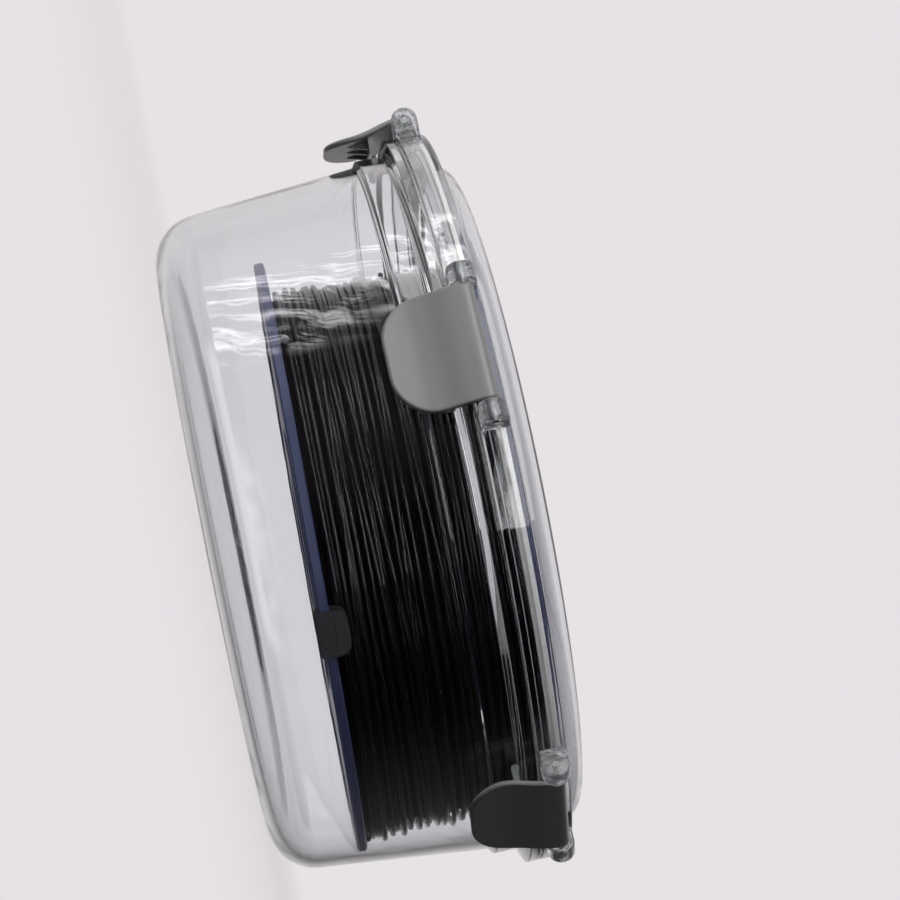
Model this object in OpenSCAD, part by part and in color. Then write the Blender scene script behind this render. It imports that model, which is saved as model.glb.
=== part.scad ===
// Round, clear, latch-lidded dry box for one spool of 3D printer filament.
// Row frame: +Z up, origin at the centre of the tub's flat underside, millimetres.

/* [Spool] */
// Outer radius of the spool's flanges
spool_r = 98.5; // [80:0.5:108]
// Overall width of the spool
spool_w = 65.5; // [58:0.5:72]
// Thickness of a flange
spool_flange_t = 3.2; // [2:0.1:4]
// Radius of the spool's bore
bore_r = 27.5; // [22:0.5:32]
// Outer radius of the hub that the filament is wound on
hub_r = 40; // [36:0.5:60]
// How far the outer turns of filament lie inside the flanges' edge
wound_depth = 7.3; // [7.3:0.1:18]
// How far the loose turns hang off the spool's axis, towards the side that it leans to
wound_sag = 3; // [0:0.1:3.5]
// How far single turns sink below the outer ones
turn_sink = 2.6; // [0:0.1:4]
// Diameter of the filament
filament_d = 1.75; // [1.75, 2.85]
// Direction round the box in which the spool leans on its wall
spool_dir = 21.5; // [0:0.5:360]
// Lean of the spool towards that side
spool_lean = 1.2; // [0:0.1:1.2]
// Gap between the spool and the wall on that side
spool_gap = 0.35; // [0.3:0.01:1]
// Room between the highest point of the spool's rim and the lid's ceiling
head_room = 2; // [1:0.1:3]

/* [Tub] */
// Height of the tub from its underside to the top of its flange
tub_h = 84; // [76:0.5:96]
// How much wider than the spool the foot of the sloping wall is, on each side
side_room = 9.5; // [9:0.1:10.5]
// Slope of the tub wall away from upright
draft = 5.5; // [4:0.1:6]
// Outer radius of the rounded edge between wall and floor
corner_r = 15.5; // [8:0.5:20]
// Thickness of the tub wall
tub_wall = 2.4; // [1.6:0.1:2.8]
// Thickness of the tub floor
floor_t = 2.6; // [1.8:0.1:4]
// Height of the plain band between the wall's step and the flange
band_h = 9.3; // [6:0.1:12]
// How far the wall steps out to that band and to the rim above the flange
step_out = 1.95; // [1.6:0.05:2.2]
// How far the tub's flange and the lid's skirt stand out from the band
flange_w = 4.9; // [4.6:0.1:5.2]
// Thickness of the flange at its outer edge
flange_t = 3.6; // [2.4:0.1:5]
// How far the flange's underside drops from its edge to the wall
ramp_drop = 2; // [1.2:0.1:2.4]
// Height of the sealing rim above the flange
rim_h = 5; // [4:0.1:5.6]

/* [Lid] */
// Height of the lid's skirt
skirt_h = 9.2; // [8.8:0.1:12]
// Thickness of the skirt
skirt_t = 3; // [1.8:0.1:3.2]
// Height of the raised top above the skirt
lid_rise = 7; // [6:0.1:10]
// Width of the flat shoulder between the skirt's edge and the raised top
shoulder_w = 10.9; // [10.6:0.1:11]
// Radius of the raised top's rounded edge
dome_edge_r = 6.6; // [3:0.1:6.8]
// Wall thickness of the lid
lid_wall = 1.8; // [1.2:0.1:2]
// Depth of the lip that carries the gasket, below the lid's shoulder
lip_h = 4.4; // [2:0.1:5]
// Gap between the tub's flange and the lid's skirt
seam_gap = 0.4; // [0.3:0.05:0.8]

/* [Latches] */
// Width of a latch
latch_w = 37.4; // [28:0.2:40]
// Length of a latch plate below its pivot
latch_len = 27; // [24:0.5:32]
// Thickness of a latch plate
latch_t = 2; // [1.4:0.1:2.2]
// How far the plate leans inwards from its pivot to its flared tab
latch_lean = 3.5; // [2:0.1:3.6]
// Corner radius at the latch's free end
latch_corner_r = 13.5; // [5:0.5:15]
// Radius of the latch's barrel
barrel_r = 2.6; // [2.2:0.05:2.75]
// Distance of the pivot outside the flange's edge
pivot_out = 2.9; // [2.8:0.05:3.4]
// Height of the pivot above the skirt's lower edge
pivot_up = 4.3; // [4:0.1:4.8]
// Radius of the round lugs on the lid
lug_r = 4.3; // [3.6:0.1:4.5]
// Width of a lug
lug_w = 6.2; // [3:0.1:8]
// Radius of the hinge pin
pin_r = 1; // [0.7:0.05:1.3]
// Radius of the round nose on the latch's hook
hook_r = 1.3; // [0.9:0.05:1.4]

/* [Vent valve] */
// Radius of the valve's pocket in the lid
pocket_r = 11; // [9:0.5:13]
// Depth of the pocket
pocket_d = 7.6; // [7:0.1:9]
// Thickness of the pocket's wall and floor
pocket_wall = 1.6; // [1:0.1:2]

/* [Desiccant canister] */
// Gap between the canister and the spool's bore
canister_gap = 0.7; // [0.3:0.1:1.5]
// Wall thickness of the canister
canister_wall = 1.5; // [1:0.1:2]
// Depth of the canister's cap below its collar
cap_depth = 9.5; // [9:0.1:12]

/* [Hidden] */
$fn = 96;

// Clearances shared by mating pieces
running = 0.08;      // a bore that turns or slides on its pin
fixed_fit = 0.02;    // a pin held in its hole
face_gap = 0.3;      // between pieces that close on each other
cut = 1;             // how far a cutting tool runs past the face that it cuts

LATCHES = 5;           // one node for each
soft = 0.5;          // radius of a moulding's small rounded edges

// Heights
skirt_z = tub_h + seam_gap;              // lower edge of the lid's skirt
shoulder_z = skirt_z + skirt_h;          // flat shoulder round the raised top
top_z = shoulder_z + lid_rise;           // top of the closed box
roof_z = shoulder_z - lid_wall;          // ceiling of the gasket's channel
rim_z = tub_h + rim_h;                   // top of the tub's sealing rim
flange_low_z = tub_h - flange_t;         // lower edge of the flange's outer face
band_top_z = flange_low_z - ramp_drop;   // where the sloping underside meets the band
step_z = band_top_z - band_h;            // where the wall steps out to the band
step_h = 1.4;                            // height of the sloping step
step_cut = 0.3;                          // the inside steps out this much higher

// Radii
base_r = spool_r + side_room;            // where the sloping wall would meet the underside
function wall_r(z) = base_r + z * tan(draft);
inner_shift = tub_wall / cos(draft);     // the wall's thickness measured level
band_r = wall_r(step_z) + step_out;
flange_r = band_r + flange_w;
dome_r = flange_r - shoulder_w;
dome_in_r = dome_r - lid_wall;
skirt_in_r = flange_r - skirt_t;
wound_r = spool_r - wound_depth;

// The spool hangs in the box just below the lid and leans on the wall on one side
spool_z = top_z - lid_wall - head_room - spool_w * cos(spool_lean) - spool_r * sin(spool_lean);
spool_off = min(dome_in_r - spool_w * sin(spool_lean), wall_r(spool_z) - inner_shift)
    - spool_r - spool_gap;

// Latch
pivot_r = flange_r + pivot_out;
pivot_z = skirt_z + pivot_up;
latch_step = 360 / LATCHES;
latch_first = -90;                       // the first latch faces -Y
tip_z = pivot_z - latch_len;

// Points of an arc in the profile plane
function arc(cx, cy, r, a0, a1, n = 8) =
    [for (i = [0:n]) let (a = a0 + (a1 - a0) * i / n) [cx + r * cos(a), cy + r * sin(a)]];

module ring(points) { rotate_extrude() polygon(points); }

// ---- Tub: one moulding of wall, stepped band, flange and sealing rim ----

// Centre of the corner's arc, so that it touches both the floor and the sloping wall
function corner_x(r) = wall_r(0) + corner_r * tan(draft) - corner_r / cos(draft);

tub_outside = concat(
    [[0, 0]],
    arc(corner_x(corner_r), corner_r, corner_r, -90, -draft, 10),
    [[wall_r(step_z), step_z],
     [band_r, step_z + step_h],
     [band_r, band_top_z],
     [flange_r, flange_low_z]],
    arc(flange_r - soft, tub_h - soft, soft, 0, 90, 4),
    [[band_r, tub_h]],
    arc(band_r - soft, rim_z - soft, soft, 0, 90, 4));

tub_inside = concat(
    arc(band_r - tub_wall + soft, rim_z - soft, soft, 90, 180, 4),
    [[band_r - tub_wall, step_z + step_h + step_cut],
     [wall_r(step_z) - inner_shift, step_z + step_cut]],
    arc(corner_x(corner_r), floor_t + corner_r - tub_wall, corner_r - tub_wall, -draft, -90, 10),
    [[0, floor_t]]);

module tub() {
    color([0.86, 0.88, 0.89, 0.35]) ring(concat(tub_outside, tub_inside));
}

// ---- Lid: raised top, shoulder, skirt, gasket lip, latch lugs and valve pocket ----

skirt_round = 0.9;                       // rounded outer edge of the shoulder
skirt_foot_round = 0.4;                  // rounded lower edge of the skirt
edge_drop = min(dome_edge_r, lid_rise);
lid_outside = concat(
    [[0, top_z]],
    arc(dome_r - edge_drop, top_z - edge_drop, edge_drop, 90, 0, 10),
    [[dome_r, shoulder_z]],
    arc(flange_r - skirt_round, shoulder_z - skirt_round, skirt_round, 90, 0, 5),
    arc(flange_r - skirt_foot_round, skirt_z + skirt_foot_round, skirt_foot_round, 0, -90, 3));
lid_inside = concat(
    [[skirt_in_r, skirt_z],
     [skirt_in_r, roof_z],
     [dome_r, roof_z],
     [dome_r, shoulder_z - lip_h - lid_wall],
     [dome_in_r, shoulder_z - lip_h - lid_wall]],
    arc(dome_r - edge_drop, top_z - edge_drop, edge_drop - lid_wall, 0, 90, 10),
    [[0, top_z - lid_wall]]);

pocket_floor_z = top_z - pocket_d;       // seat of the valve's seal
stem_r = 2;                              // stem of the valve's button
vent_holes = 6;
vent_hole_r = 1;
vent_ring_r = 5.2;                       // circle that the vent holes lie on
button_top_gap = 0.4;                    // the button lies this far below the lid's top

// A lug: a round ear on a block that runs into the skirt
lug_root_r = skirt_in_r + 0.4 * skirt_t;
module lug_outline() {
    translate([pivot_r, pivot_z]) circle(r = lug_r);
    translate([lug_root_r, pivot_z - lug_r]) square([pivot_r - lug_root_r, 2 * lug_r]);
}

// Draws its child, an outline of radius and height, as a plate across the latch's width
module across(from, to) {
    translate([0, to, 0]) rotate([90, 0, 0]) linear_extrude(height = to - from) children();
}

module at_latch(i) { rotate([0, 0, latch_first + i * latch_step]) children(); }

module pivot_rod(r, half) {
    translate([pivot_r, half, pivot_z]) rotate([90, 0, 0]) cylinder(r = r, h = 2 * half);
}

lug_in = latch_w / 2 + face_gap;         // near face of a lug, from the latch's middle
lug_out = lug_in + lug_w;

module lid() {
    color([0.88, 0.90, 0.91, 0.35]) difference() {
        union() {
            difference() {
                ring(concat(lid_outside, lid_inside));
                translate([0, 0, top_z - lid_wall - cut])
                    cylinder(r = pocket_r, h = lid_wall + 2 * cut);
            }
            for (i = [0:LATCHES - 1]) at_latch(i) {
                across(lug_in, lug_out) lug_outline();
                across(-lug_out, -lug_in) lug_outline();
            }
            valve_pocket();
        }
        for (i = [0:LATCHES - 1]) at_latch(i)
            pivot_rod(pin_r + fixed_fit, lug_out + cut);
    }
}

// The valve's pocket: a cup below the raised top, with a stem hole and vent holes in its floor
module valve_pocket() {
    difference() {
        translate([0, 0, pocket_floor_z - pocket_wall])
            cylinder(r = pocket_r + pocket_wall, h = pocket_d + pocket_wall);
        translate([0, 0, pocket_floor_z]) cylinder(r = pocket_r, h = pocket_d + cut);
        translate([0, 0, pocket_floor_z - pocket_wall - cut])
            cylinder(r = stem_r + running, h = pocket_wall + 2 * cut);
        for (i = [0:vent_holes - 1]) rotate([0, 0, i * 360 / vent_holes])
            translate([vent_ring_r, 0, pocket_floor_z - pocket_wall - cut])
                cylinder(r = vent_hole_r, h = pocket_wall + 2 * cut, $fn = 32);
    }
}

// ---- Gasket: a flat silicone ring with two lips that press on the tub's rim ----

gasket_lip_w = 0.8;
gasket_body_t = 1.6;
module gasket() {
    color([0.85, 0.85, 0.84]) union() {
        ring([[dome_r + face_gap, roof_z - gasket_body_t], [skirt_in_r - face_gap, roof_z - gasket_body_t],
              [skirt_in_r - face_gap, roof_z], [dome_r + face_gap, roof_z]]);
        for (r = [band_r - tub_wall + face_gap, band_r - face_gap - gasket_lip_w])
            ring([[r, rim_z], [r + gasket_lip_w, rim_z],
                  [r + gasket_lip_w, roof_z - gasket_body_t / 2], [r, roof_z - gasket_body_t / 2]]);
    }
}

// ---- Latch: barrel, leaning plate with a flared tab, hook and its gussets ----

// Outer face of the plate: leans in towards the tub, then runs out into the flared tab
plate_steps = 14;
plate_over = 0.3;                        // the plate's face stands this far outside the barrel
tab_start = 0.68;                        // part of the length at which the tab begins
tab_flare = 0.2;                         // how far the tab runs out again at its tip
function plate_r(t) = pivot_r + barrel_r + plate_over
    - latch_lean * (1 - cos(180 * min(t / tab_start, 1))) / 2
    + tab_flare * pow(max(t - tab_start, 0) / (1 - tab_start), 2);
plate_face = [for (i = [0:plate_steps]) let (t = i / plate_steps)
    [plate_r(t), pivot_z - latch_len * t]];
plate_back = [for (i = [plate_steps:-1:0]) let (t = i / plate_steps)
    [plate_r(t) - latch_t, pivot_z - latch_len * t]];

// Front outline of the plate: square at the barrel, round at the free corners
module plate_front() {
    half = latch_w / 2;
    c = latch_corner_r;
    translate([-half, tip_z + c]) square([2 * half, latch_len - c]);
    translate([-half + c, tip_z]) square([2 * (half - c), latch_len]);
    for (s = [-1, 1]) translate([s * (half - c), tip_z + c]) circle(r = c);
}

// The hook's round nose lies under the flange's sloping underside, a face gap away
ramp_slope = atan(ramp_drop / (flange_r - band_r));
hook_inset = 0.8;                        // the nose ends this far outside the band
nose_r = band_r + hook_inset + hook_r;
nose_z = band_top_z + (nose_r - band_r) * tan(ramp_slope) - (hook_r + face_gap) / cos(ramp_slope);
hook_t = 1.8;                            // thickness of the hook's shelf
hook_half = 8;                           // half the angle that the hook spans
hook_root_r = plate_r((pivot_z - nose_z) / latch_len) - latch_t / 2;
gusset_t = 1.6;
gusset_len = 6.5;                        // how far a gusset runs down the plate
gusset_in = 1.2;                         // its top starts this far outside the nose's centre
weld = 0.4;                              // how far one piece of a moulding runs into the next

module hook() {
    rotate([0, 0, -hook_half]) rotate_extrude(angle = 2 * hook_half) {
        translate([nose_r, nose_z]) circle(r = hook_r, $fn = 32);
        translate([nose_r, nose_z - hook_r]) square([hook_root_r - nose_r, hook_t]);
    }
}

module gusset(y) {
    low_z = nose_z - hook_r - gusset_len;
    low_t = (pivot_z - low_z) / latch_len;
    across(y - gusset_t / 2, y + gusset_t / 2)
        polygon([[nose_r + gusset_in, nose_z - hook_r + weld / 2], [hook_root_r, nose_z - hook_r + weld / 2],
                 [plate_r(low_t) - latch_t / 2, low_z], [plate_r(low_t) - latch_t - weld, low_z]]);
}

module latch() {
    color([0.46, 0.47, 0.46]) difference() {
        union() {
            intersection() {
                across(-latch_w / 2, latch_w / 2) polygon(concat(plate_face, plate_back));
                translate([pivot_r - latch_lean - 2 * cut, 0, 0]) rotate([90, 0, 90])
                    linear_extrude(height = 2 * latch_lean + 6 * cut) plate_front();
            }
            pivot_rod(barrel_r, latch_w / 2);
            hook();
            for (y = [-latch_w / 4, 0, latch_w / 4]) gusset(y);
        }
        pivot_rod(pin_r + running, latch_w / 2 + cut);
    }
}

module latch_pin() { color([0.75, 0.76, 0.78]) pivot_rod(pin_r, lug_out); }

module placed_latch(i) { at_latch(i) latch(); }
module placed_pin(i) { at_latch(i) latch_pin(); }

// ---- Vent valve: seal on the pocket's floor, spring, and a button with a stem ----

seal_t = 1;
seal_edge = 0.8;                         // width of the seal's sloping edge
seal_r = vent_ring_r + vent_hole_r + 1.4;
button_t = 2;
button_z = top_z - button_top_gap - button_t;
spring_wire_r = 0.35;
spring_coil_r = 3.4;
spring_turns = 3;

module valve_seal() {
    color([0.82, 0.82, 0.81]) ring([
        [stem_r + running, pocket_floor_z], [seal_r, pocket_floor_z],
        [seal_r, pocket_floor_z + seal_t / 2], [seal_r - seal_edge, pocket_floor_z + seal_t],
        [stem_r + running, pocket_floor_z + seal_t]]);
}

// A coil carried round a helix: rings of points, each square to the wire's own direction
module valve_spring() {
    z0 = pocket_floor_z + seal_t + spring_wire_r;
    rise = button_z - spring_wire_r - z0;
    steps = 20 * spring_turns;
    sides = 8;
    points = [for (i = [0:steps]) let (a = 360 * spring_turns * i / steps)
        for (j = [0:sides - 1]) let (b = 360 * j / sides, r = spring_coil_r + spring_wire_r * cos(b))
            [r * cos(a), r * sin(a), z0 + rise * i / steps + spring_wire_r * sin(b)]];
    faces = concat(
        [[for (j = [0:sides - 1]) j]],
        [for (i = [0:steps - 1], j = [0:sides - 1]) let (k = (j + 1) % sides)
            [i * sides + j, (i + 1) * sides + j, (i + 1) * sides + k, i * sides + k]],
        [[for (j = [sides - 1:-1:0]) steps * sides + j]]);
    color([0.7, 0.7, 0.72]) polyhedron(points, faces);
}

stem_head_r = 2.7;                       // snap head that keeps the button in the lid
stem_head_h = 1.6;
stem_head_edge = 0.4;                    // straight upper edge of that head
stem_head_taper = 0.9;
dish_r = pocket_r - 4;                   // a finger dish in the button's top
dish_slope = 1;
dish_d = 0.5;
module valve_button() {
    stem_end = pocket_floor_z - pocket_wall - face_gap;
    color([0.46, 0.47, 0.46]) ring([
        [0, stem_end - stem_head_h], [stem_head_r - stem_head_taper, stem_end - stem_head_h],
        [stem_head_r, stem_end - stem_head_edge], [stem_head_r, stem_end], [stem_r, stem_end],
        [stem_r, button_z], [pocket_r - face_gap, button_z],
        [pocket_r - face_gap, button_z + button_t - soft],
        [pocket_r - face_gap - soft, button_z + button_t], [dish_r + dish_slope, button_z + button_t],
        [dish_r, button_z + button_t - dish_d], [0, button_z + button_t - dish_d]]);
}

// ---- Spool, in its own frame: +Z along its axis, lower face at 0 ----

module place_spool() {
    rotate([0, 0, spool_dir]) translate([spool_off, 0, spool_z]) rotate([0, spool_lean, 0]) children();
}

web_recess = 0.7;                        // the flange's web lies this far below its rim
web_step = 0.7;                          // width of the slope down to the web
web_in_r = hub_r + 4;
web_out_r = spool_r - 5;
edge_cut = 0.6;                          // bevel on the flange's outer and inner edges
sight_slots = 3;
sight_w = 8;
sight_first = 60;
sight_in_r = web_in_r + 5;               // centres of a slot's round ends
sight_out_r = web_out_r - 9;
rim_holes = 6;
rim_hole_r = spool_r - 4;                // circle that the filament holes lie on
thread_room = 0.6;                       // a hole is this much wider than the filament

// One flange, outer face down
module spool_flange() {
    difference() {
        ring([[bore_r, edge_cut], [bore_r + edge_cut, 0], [web_in_r, 0],
              [web_in_r + web_step, web_recess], [web_out_r - web_step, web_recess], [web_out_r, 0],
              [spool_r - edge_cut, 0], [spool_r, edge_cut], [spool_r, spool_flange_t - edge_cut],
              [spool_r - edge_cut, spool_flange_t], [bore_r, spool_flange_t]]);
        for (i = [0:sight_slots - 1]) rotate([0, 0, sight_first + i * 360 / sight_slots]) {
            translate([sight_in_r, -sight_w / 2, -cut])
                cube([sight_out_r - sight_in_r, sight_w, spool_flange_t + 2 * cut]);
            for (r = [sight_in_r, sight_out_r])
                translate([r, 0, -cut]) cylinder(d = sight_w, h = spool_flange_t + 2 * cut);
        }
        for (i = [0:rim_holes - 1]) rotate([0, 0, 180 / rim_holes + i * 360 / rim_holes])
            translate([rim_hole_r, 0, -cut])
                cylinder(d = filament_d + thread_room, h = spool_flange_t + 2 * cut, $fn = 32);
    }
}

module spool_flange_lower() { color([0.12, 0.15, 0.28]) place_spool() spool_flange(); }
module spool_flange_upper() {
    color([0.12, 0.15, 0.28]) place_spool()
        translate([0, 0, spool_w]) mirror([0, 0, 1]) spool_flange();
}

hub_t = 2.4;
hub_ribs = 6;
module annulus(outer, inner) {
    difference() {
        circle(r = outer);
        circle(r = inner);
    }
}

module spool_hub() {
    low = spool_flange_t;
    high = spool_w - spool_flange_t;
    color([0.12, 0.15, 0.28]) place_spool() translate([0, 0, low]) linear_extrude(height = high - low) {
        annulus(hub_r, hub_r - hub_t);
        annulus(bore_r + hub_t, bore_r);
        for (i = [0:hub_ribs - 1]) rotate(i * 360 / hub_ribs)
            translate([bore_r + hub_t / 2, -hub_t / 2]) square([hub_r - bore_r - hub_t, hub_t]);
    }
}

// The wound filament: each turn of the outer layer is a round ridge, and the layers' heights wander
side_gap = 0.2;                          // between the outermost turns and a flange
wound_low = spool_flange_t + side_gap;
wound_w = spool_w - 2 * wound_low;
turns = floor(wound_w / filament_d);
pitch = wound_w / turns;
ridge_points = 5;
function layer_r(i) = wound_r - turn_sink * (1 + sin(i * 47) * cos(i * 19)) / 2;
winding_edge = [for (i = [0:turns - 1], j = [0:ridge_points]) let (a = 180 * (j + 0.5) / (ridge_points + 1))
    [layer_r(i) - filament_d / 2 * (1 - sin(a)),
     wound_low + pitch * (i + 0.5) - pitch / 2 * cos(a)]];
module filament_winding() {
    color([0.05, 0.05, 0.06]) place_spool() difference() {
        translate([wound_sag, 0, 0])
            ring(concat([[0, wound_low]], winding_edge, [[0, wound_low + wound_w]]));
        cylinder(r = hub_r + fixed_fit, h = spool_w);
    }
}

// A clip that straddles the lower flange's rim and holds the filament's end
clip_angle = -78;                        // round the spool, from the side that it leans to
clip_w = 14;
clip_out_t = 1.3;                        // leg outside the flange
clip_in_t = 5;                           // leg over the filament
clip_rim_t = 1.4;                        // bridge over the rim
clip_leg = 6;                            // how far the legs reach in from the rim
clip_nose_r = 2;                         // rounded outer corner over the rim
clip_hole_room = 0.2;                    // the filament's hole is this much wider than it
module clip_outline() {
    grip = spool_r + running;
    translate([spool_r - clip_leg, -clip_out_t - running]) square([clip_leg + clip_rim_t, clip_out_t]);
    translate([grip, -clip_out_t - running])
        square([clip_rim_t - running, clip_out_t + spool_flange_t + clip_in_t + 2 * running]);
    translate([spool_r - clip_leg, spool_flange_t + running])
        square([clip_leg + clip_rim_t - clip_nose_r, clip_in_t]);
    translate([spool_r + clip_rim_t - clip_nose_r, spool_flange_t + running])
        square([clip_nose_r, clip_in_t - clip_nose_r]);
    translate([spool_r + clip_rim_t - clip_nose_r, spool_flange_t + running + clip_in_t - clip_nose_r])
        circle(r = clip_nose_r);
}
module filament_clip() {
    color([0.07, 0.07, 0.08]) place_spool() rotate([0, 0, clip_angle]) difference() {
        across(-clip_w / 2, clip_w / 2) clip_outline();
        translate([spool_r - clip_leg / 2, -clip_w / 2 - cut, spool_flange_t + clip_in_t / 2])
            rotate([-90, 0, 0]) cylinder(d = filament_d + clip_hole_room, h = clip_w + 2 * cut, $fn = 32);
    }
}

// ---- Desiccant canister: hangs by its collar in the spool's bore ----

canister_r = bore_r - canister_gap;
collar_w = 4;                            // how far the collar lies on the spool's face
collar_r = bore_r + collar_w;
collar_t = 1.2;
canister_low = 4;                        // height of the canister's floor above the lower face
cap_top = spool_w + collar_t - cap_depth;
cap_t = 2;
vent_slots = 12;
slot_w = 2.4;
slot_d = 4;                              // deeper than the wall and its inner step
slot_end = 6;                            // plain wall left above and below the slots
ledge = 1;                               // width of the inner step that carries the cap
cap_rings = [8, 16];                     // circles that the cap's vent holes lie on

module desiccant_canister() {
    inner = canister_r - canister_wall;
    color([0.9, 0.9, 0.88]) place_spool() difference() {
        ring([[0, canister_low], [canister_r, canister_low], [canister_r, spool_w],
              [collar_r, spool_w], [collar_r, spool_w + collar_t], [inner, spool_w + collar_t],
              [inner, cap_top], [inner - ledge, cap_top - cap_t],
              [inner - ledge, canister_low + canister_wall],
              [0, canister_low + canister_wall]]);
        for (i = [0:vent_slots - 1]) rotate([0, 0, i * 360 / vent_slots])
            translate([canister_r - slot_d, -slot_w / 2, canister_low + slot_end])
                cube([slot_d + cut, slot_w, cap_top - cap_t - canister_low - 2 * slot_end]);
    }
}

module desiccant_cap() {
    inner = canister_r - canister_wall - fixed_fit;
    color([0.9, 0.9, 0.88]) place_spool() difference() {
        ring([[0, cap_top - cap_t], [inner - ledge, cap_top - cap_t], [inner, cap_top], [0, cap_top]]);
        for (ring_r = cap_rings) for (i = [0:ring_r - 2]) rotate([0, 0, i * 360 / (ring_r - 1)])
            translate([ring_r, 0, cap_top - cap_t - cut])
                cylinder(d = slot_w, h = cap_t + 2 * cut, $fn = 24);
    }
}

module desiccant_beads() {
    color([0.85, 0.45, 0.12]) place_spool() translate([0, 0, canister_low + canister_wall])
        cylinder(r = canister_r - canister_wall - ledge - face_gap,
                 h = cap_top - cap_t - canister_low - canister_wall - face_gap);
}

tub();
lid();
gasket();
placed_latch(0);  // latch_1
placed_latch(1);  // latch_2
placed_latch(2);  // latch_3
placed_latch(3);  // latch_4
placed_latch(4);  // latch_5
placed_pin(0);  // latch_pin_1
placed_pin(1);  // latch_pin_2
placed_pin(2);  // latch_pin_3
placed_pin(3);  // latch_pin_4
placed_pin(4);  // latch_pin_5
valve_seal();
valve_spring();
valve_button();
spool_flange_lower();
spool_flange_upper();
spool_hub();
filament_winding();
filament_clip();
desiccant_canister();
desiccant_cap();
desiccant_beads();
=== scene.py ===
# %% [markdown]
# # A clear dry box for one spool of printer filament
# Filament soaks up damp from the air, so it is kept in a box that shuts tight: a clear tub with
# sloping walls, a clear lid that five grey latches pull down on a silicone ring, and a spool
# inside with a canister of drying beads in its bore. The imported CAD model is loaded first. It
# gives the bodies that the pieces ride on, and the exact place of every part. Sizes in the
# formulas are in millimetres, and become metres when they enter a mesh.

import bpy
import numpy as np
from mathutils import Matrix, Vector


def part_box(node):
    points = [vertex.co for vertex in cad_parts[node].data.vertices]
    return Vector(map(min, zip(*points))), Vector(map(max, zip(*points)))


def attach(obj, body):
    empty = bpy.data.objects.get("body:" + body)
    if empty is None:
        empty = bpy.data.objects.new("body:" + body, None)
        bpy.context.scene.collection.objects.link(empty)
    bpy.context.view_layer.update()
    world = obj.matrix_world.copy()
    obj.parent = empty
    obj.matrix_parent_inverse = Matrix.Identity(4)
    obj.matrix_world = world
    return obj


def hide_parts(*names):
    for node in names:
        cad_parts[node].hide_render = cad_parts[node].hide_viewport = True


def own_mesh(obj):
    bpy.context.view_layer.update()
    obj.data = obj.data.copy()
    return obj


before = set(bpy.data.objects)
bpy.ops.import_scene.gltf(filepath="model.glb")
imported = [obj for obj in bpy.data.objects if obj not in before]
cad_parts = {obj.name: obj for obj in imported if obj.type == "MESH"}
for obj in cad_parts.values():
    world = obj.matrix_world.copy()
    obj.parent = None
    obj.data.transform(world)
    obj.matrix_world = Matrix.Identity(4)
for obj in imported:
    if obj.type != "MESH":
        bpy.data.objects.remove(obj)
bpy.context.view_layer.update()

# %% [markdown]
# ## The camera
# A long lens looks along the seam between tub and lid, with the box's axis lying across the view,
# so the camera is rolled almost a quarter turn. Three angles are hard to read when a camera is
# rolled, so its axes are written out as unit vectors instead: right, up and the way it looks.

# %% Camera
LOOK = np.array([-0.365478, 0.927819, 0.074688])
RIGHT = np.array([0.208810, 0.003529, 0.977950])
UP = np.array([-0.907097, -0.373014, 0.195028])
EYE = np.array([0.291127, -0.785106, 0.020882])
LENS_MM, SENSOR_MM = 100.524, 36.0
NEAREST_M, FARTHEST_M = 0.05, 60.0  # what is nearer or farther is cut off

camera = bpy.data.objects.new("camera", bpy.data.cameras.new("camera"))
camera.data.lens, camera.data.sensor_width = LENS_MM, SENSOR_MM
camera.data.clip_start, camera.data.clip_end = NEAREST_M, FARTHEST_M
bpy.context.scene.collection.objects.link(camera)
axes = Matrix(np.stack([RIGHT, UP, -LOOK], 1).tolist())
camera.matrix_world = Matrix.Translation(EYE) @ axes.to_4x4()
bpy.context.scene.camera = camera
bpy.context.scene.view_settings.view_transform = "Standard"
print("camera", round(float(np.linalg.norm(EYE)), 3), "m from the origin")

# %% [markdown]
# ## Colours and nodes
# Colours are given as on a screen, so they are sRGB hex values. Blender mixes light in linear
# values, and one function turns the one into the other. A second small function adds any node,
# whatever its kind: its settings are named values, and its inputs take a constant, a socket or a
# whole node.

# %% Colour and node helpers
def linear(code):
    """sRGB hex to linear RGBA: c / 12.92 where c is small, else ((c + 0.055) / 1.055) to the power
    2.4."""
    c = np.array([int(code[i:i + 2], 16) for i in (1, 3, 5)]) / 255
    return (*np.where(c <= 0.04045, c / 12.92, ((c + 0.055) / 1.055) ** 2.4).tolist(), 1.0)


def add(tree, kind, inputs=None, stops=(), **settings):
    """Adds a node with its settings. Each input, by name or number, is a constant, a socket, or a
    node, whose first visible output is linked. Stops are a colour ramp's (place, hex) pairs."""
    made = tree.nodes.new(kind)
    for key, value in settings.items():
        setattr(made, key, value)
    for key, value in (inputs or {}).items():
        if isinstance(value, bpy.types.Node):
            value = next(out for out in value.outputs if out.enabled)
        if isinstance(value, bpy.types.NodeSocket):
            tree.links.new(value, made.inputs[key])
        else:
            made.inputs[key].default_value = value
    for k, (place, code) in enumerate(stops):
        made.color_ramp.elements[k].position = place
        made.color_ramp.elements[k].color = linear(code)
    return made


def new_material(name):
    """An empty node material and its tree."""
    made = bpy.data.materials.new(name)
    made.use_nodes = True
    made.node_tree.nodes.clear()
    return made, made.node_tree


print("mid grey", [round(c, 3) for c in linear("#767676")[:3]])

# %% [markdown]
# ## The studio
# A clear box shows little but what stands round it, so the surroundings are half of its look.
# Sheets and lamps could be modelled round it, but a room that is seen only in reflections is
# simpler to paint on the world by the direction of each ray. Three fixed directions in the room do
# for that: its top, its right, and the wall behind the box. The dot product with each tells how
# far a ray points that way, from -1 to 1.

# %% Directions in the room
PALE = linear("#E6E2E5")
SMOOTH = {"interpolation_type": "SMOOTHSTEP"}

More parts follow.
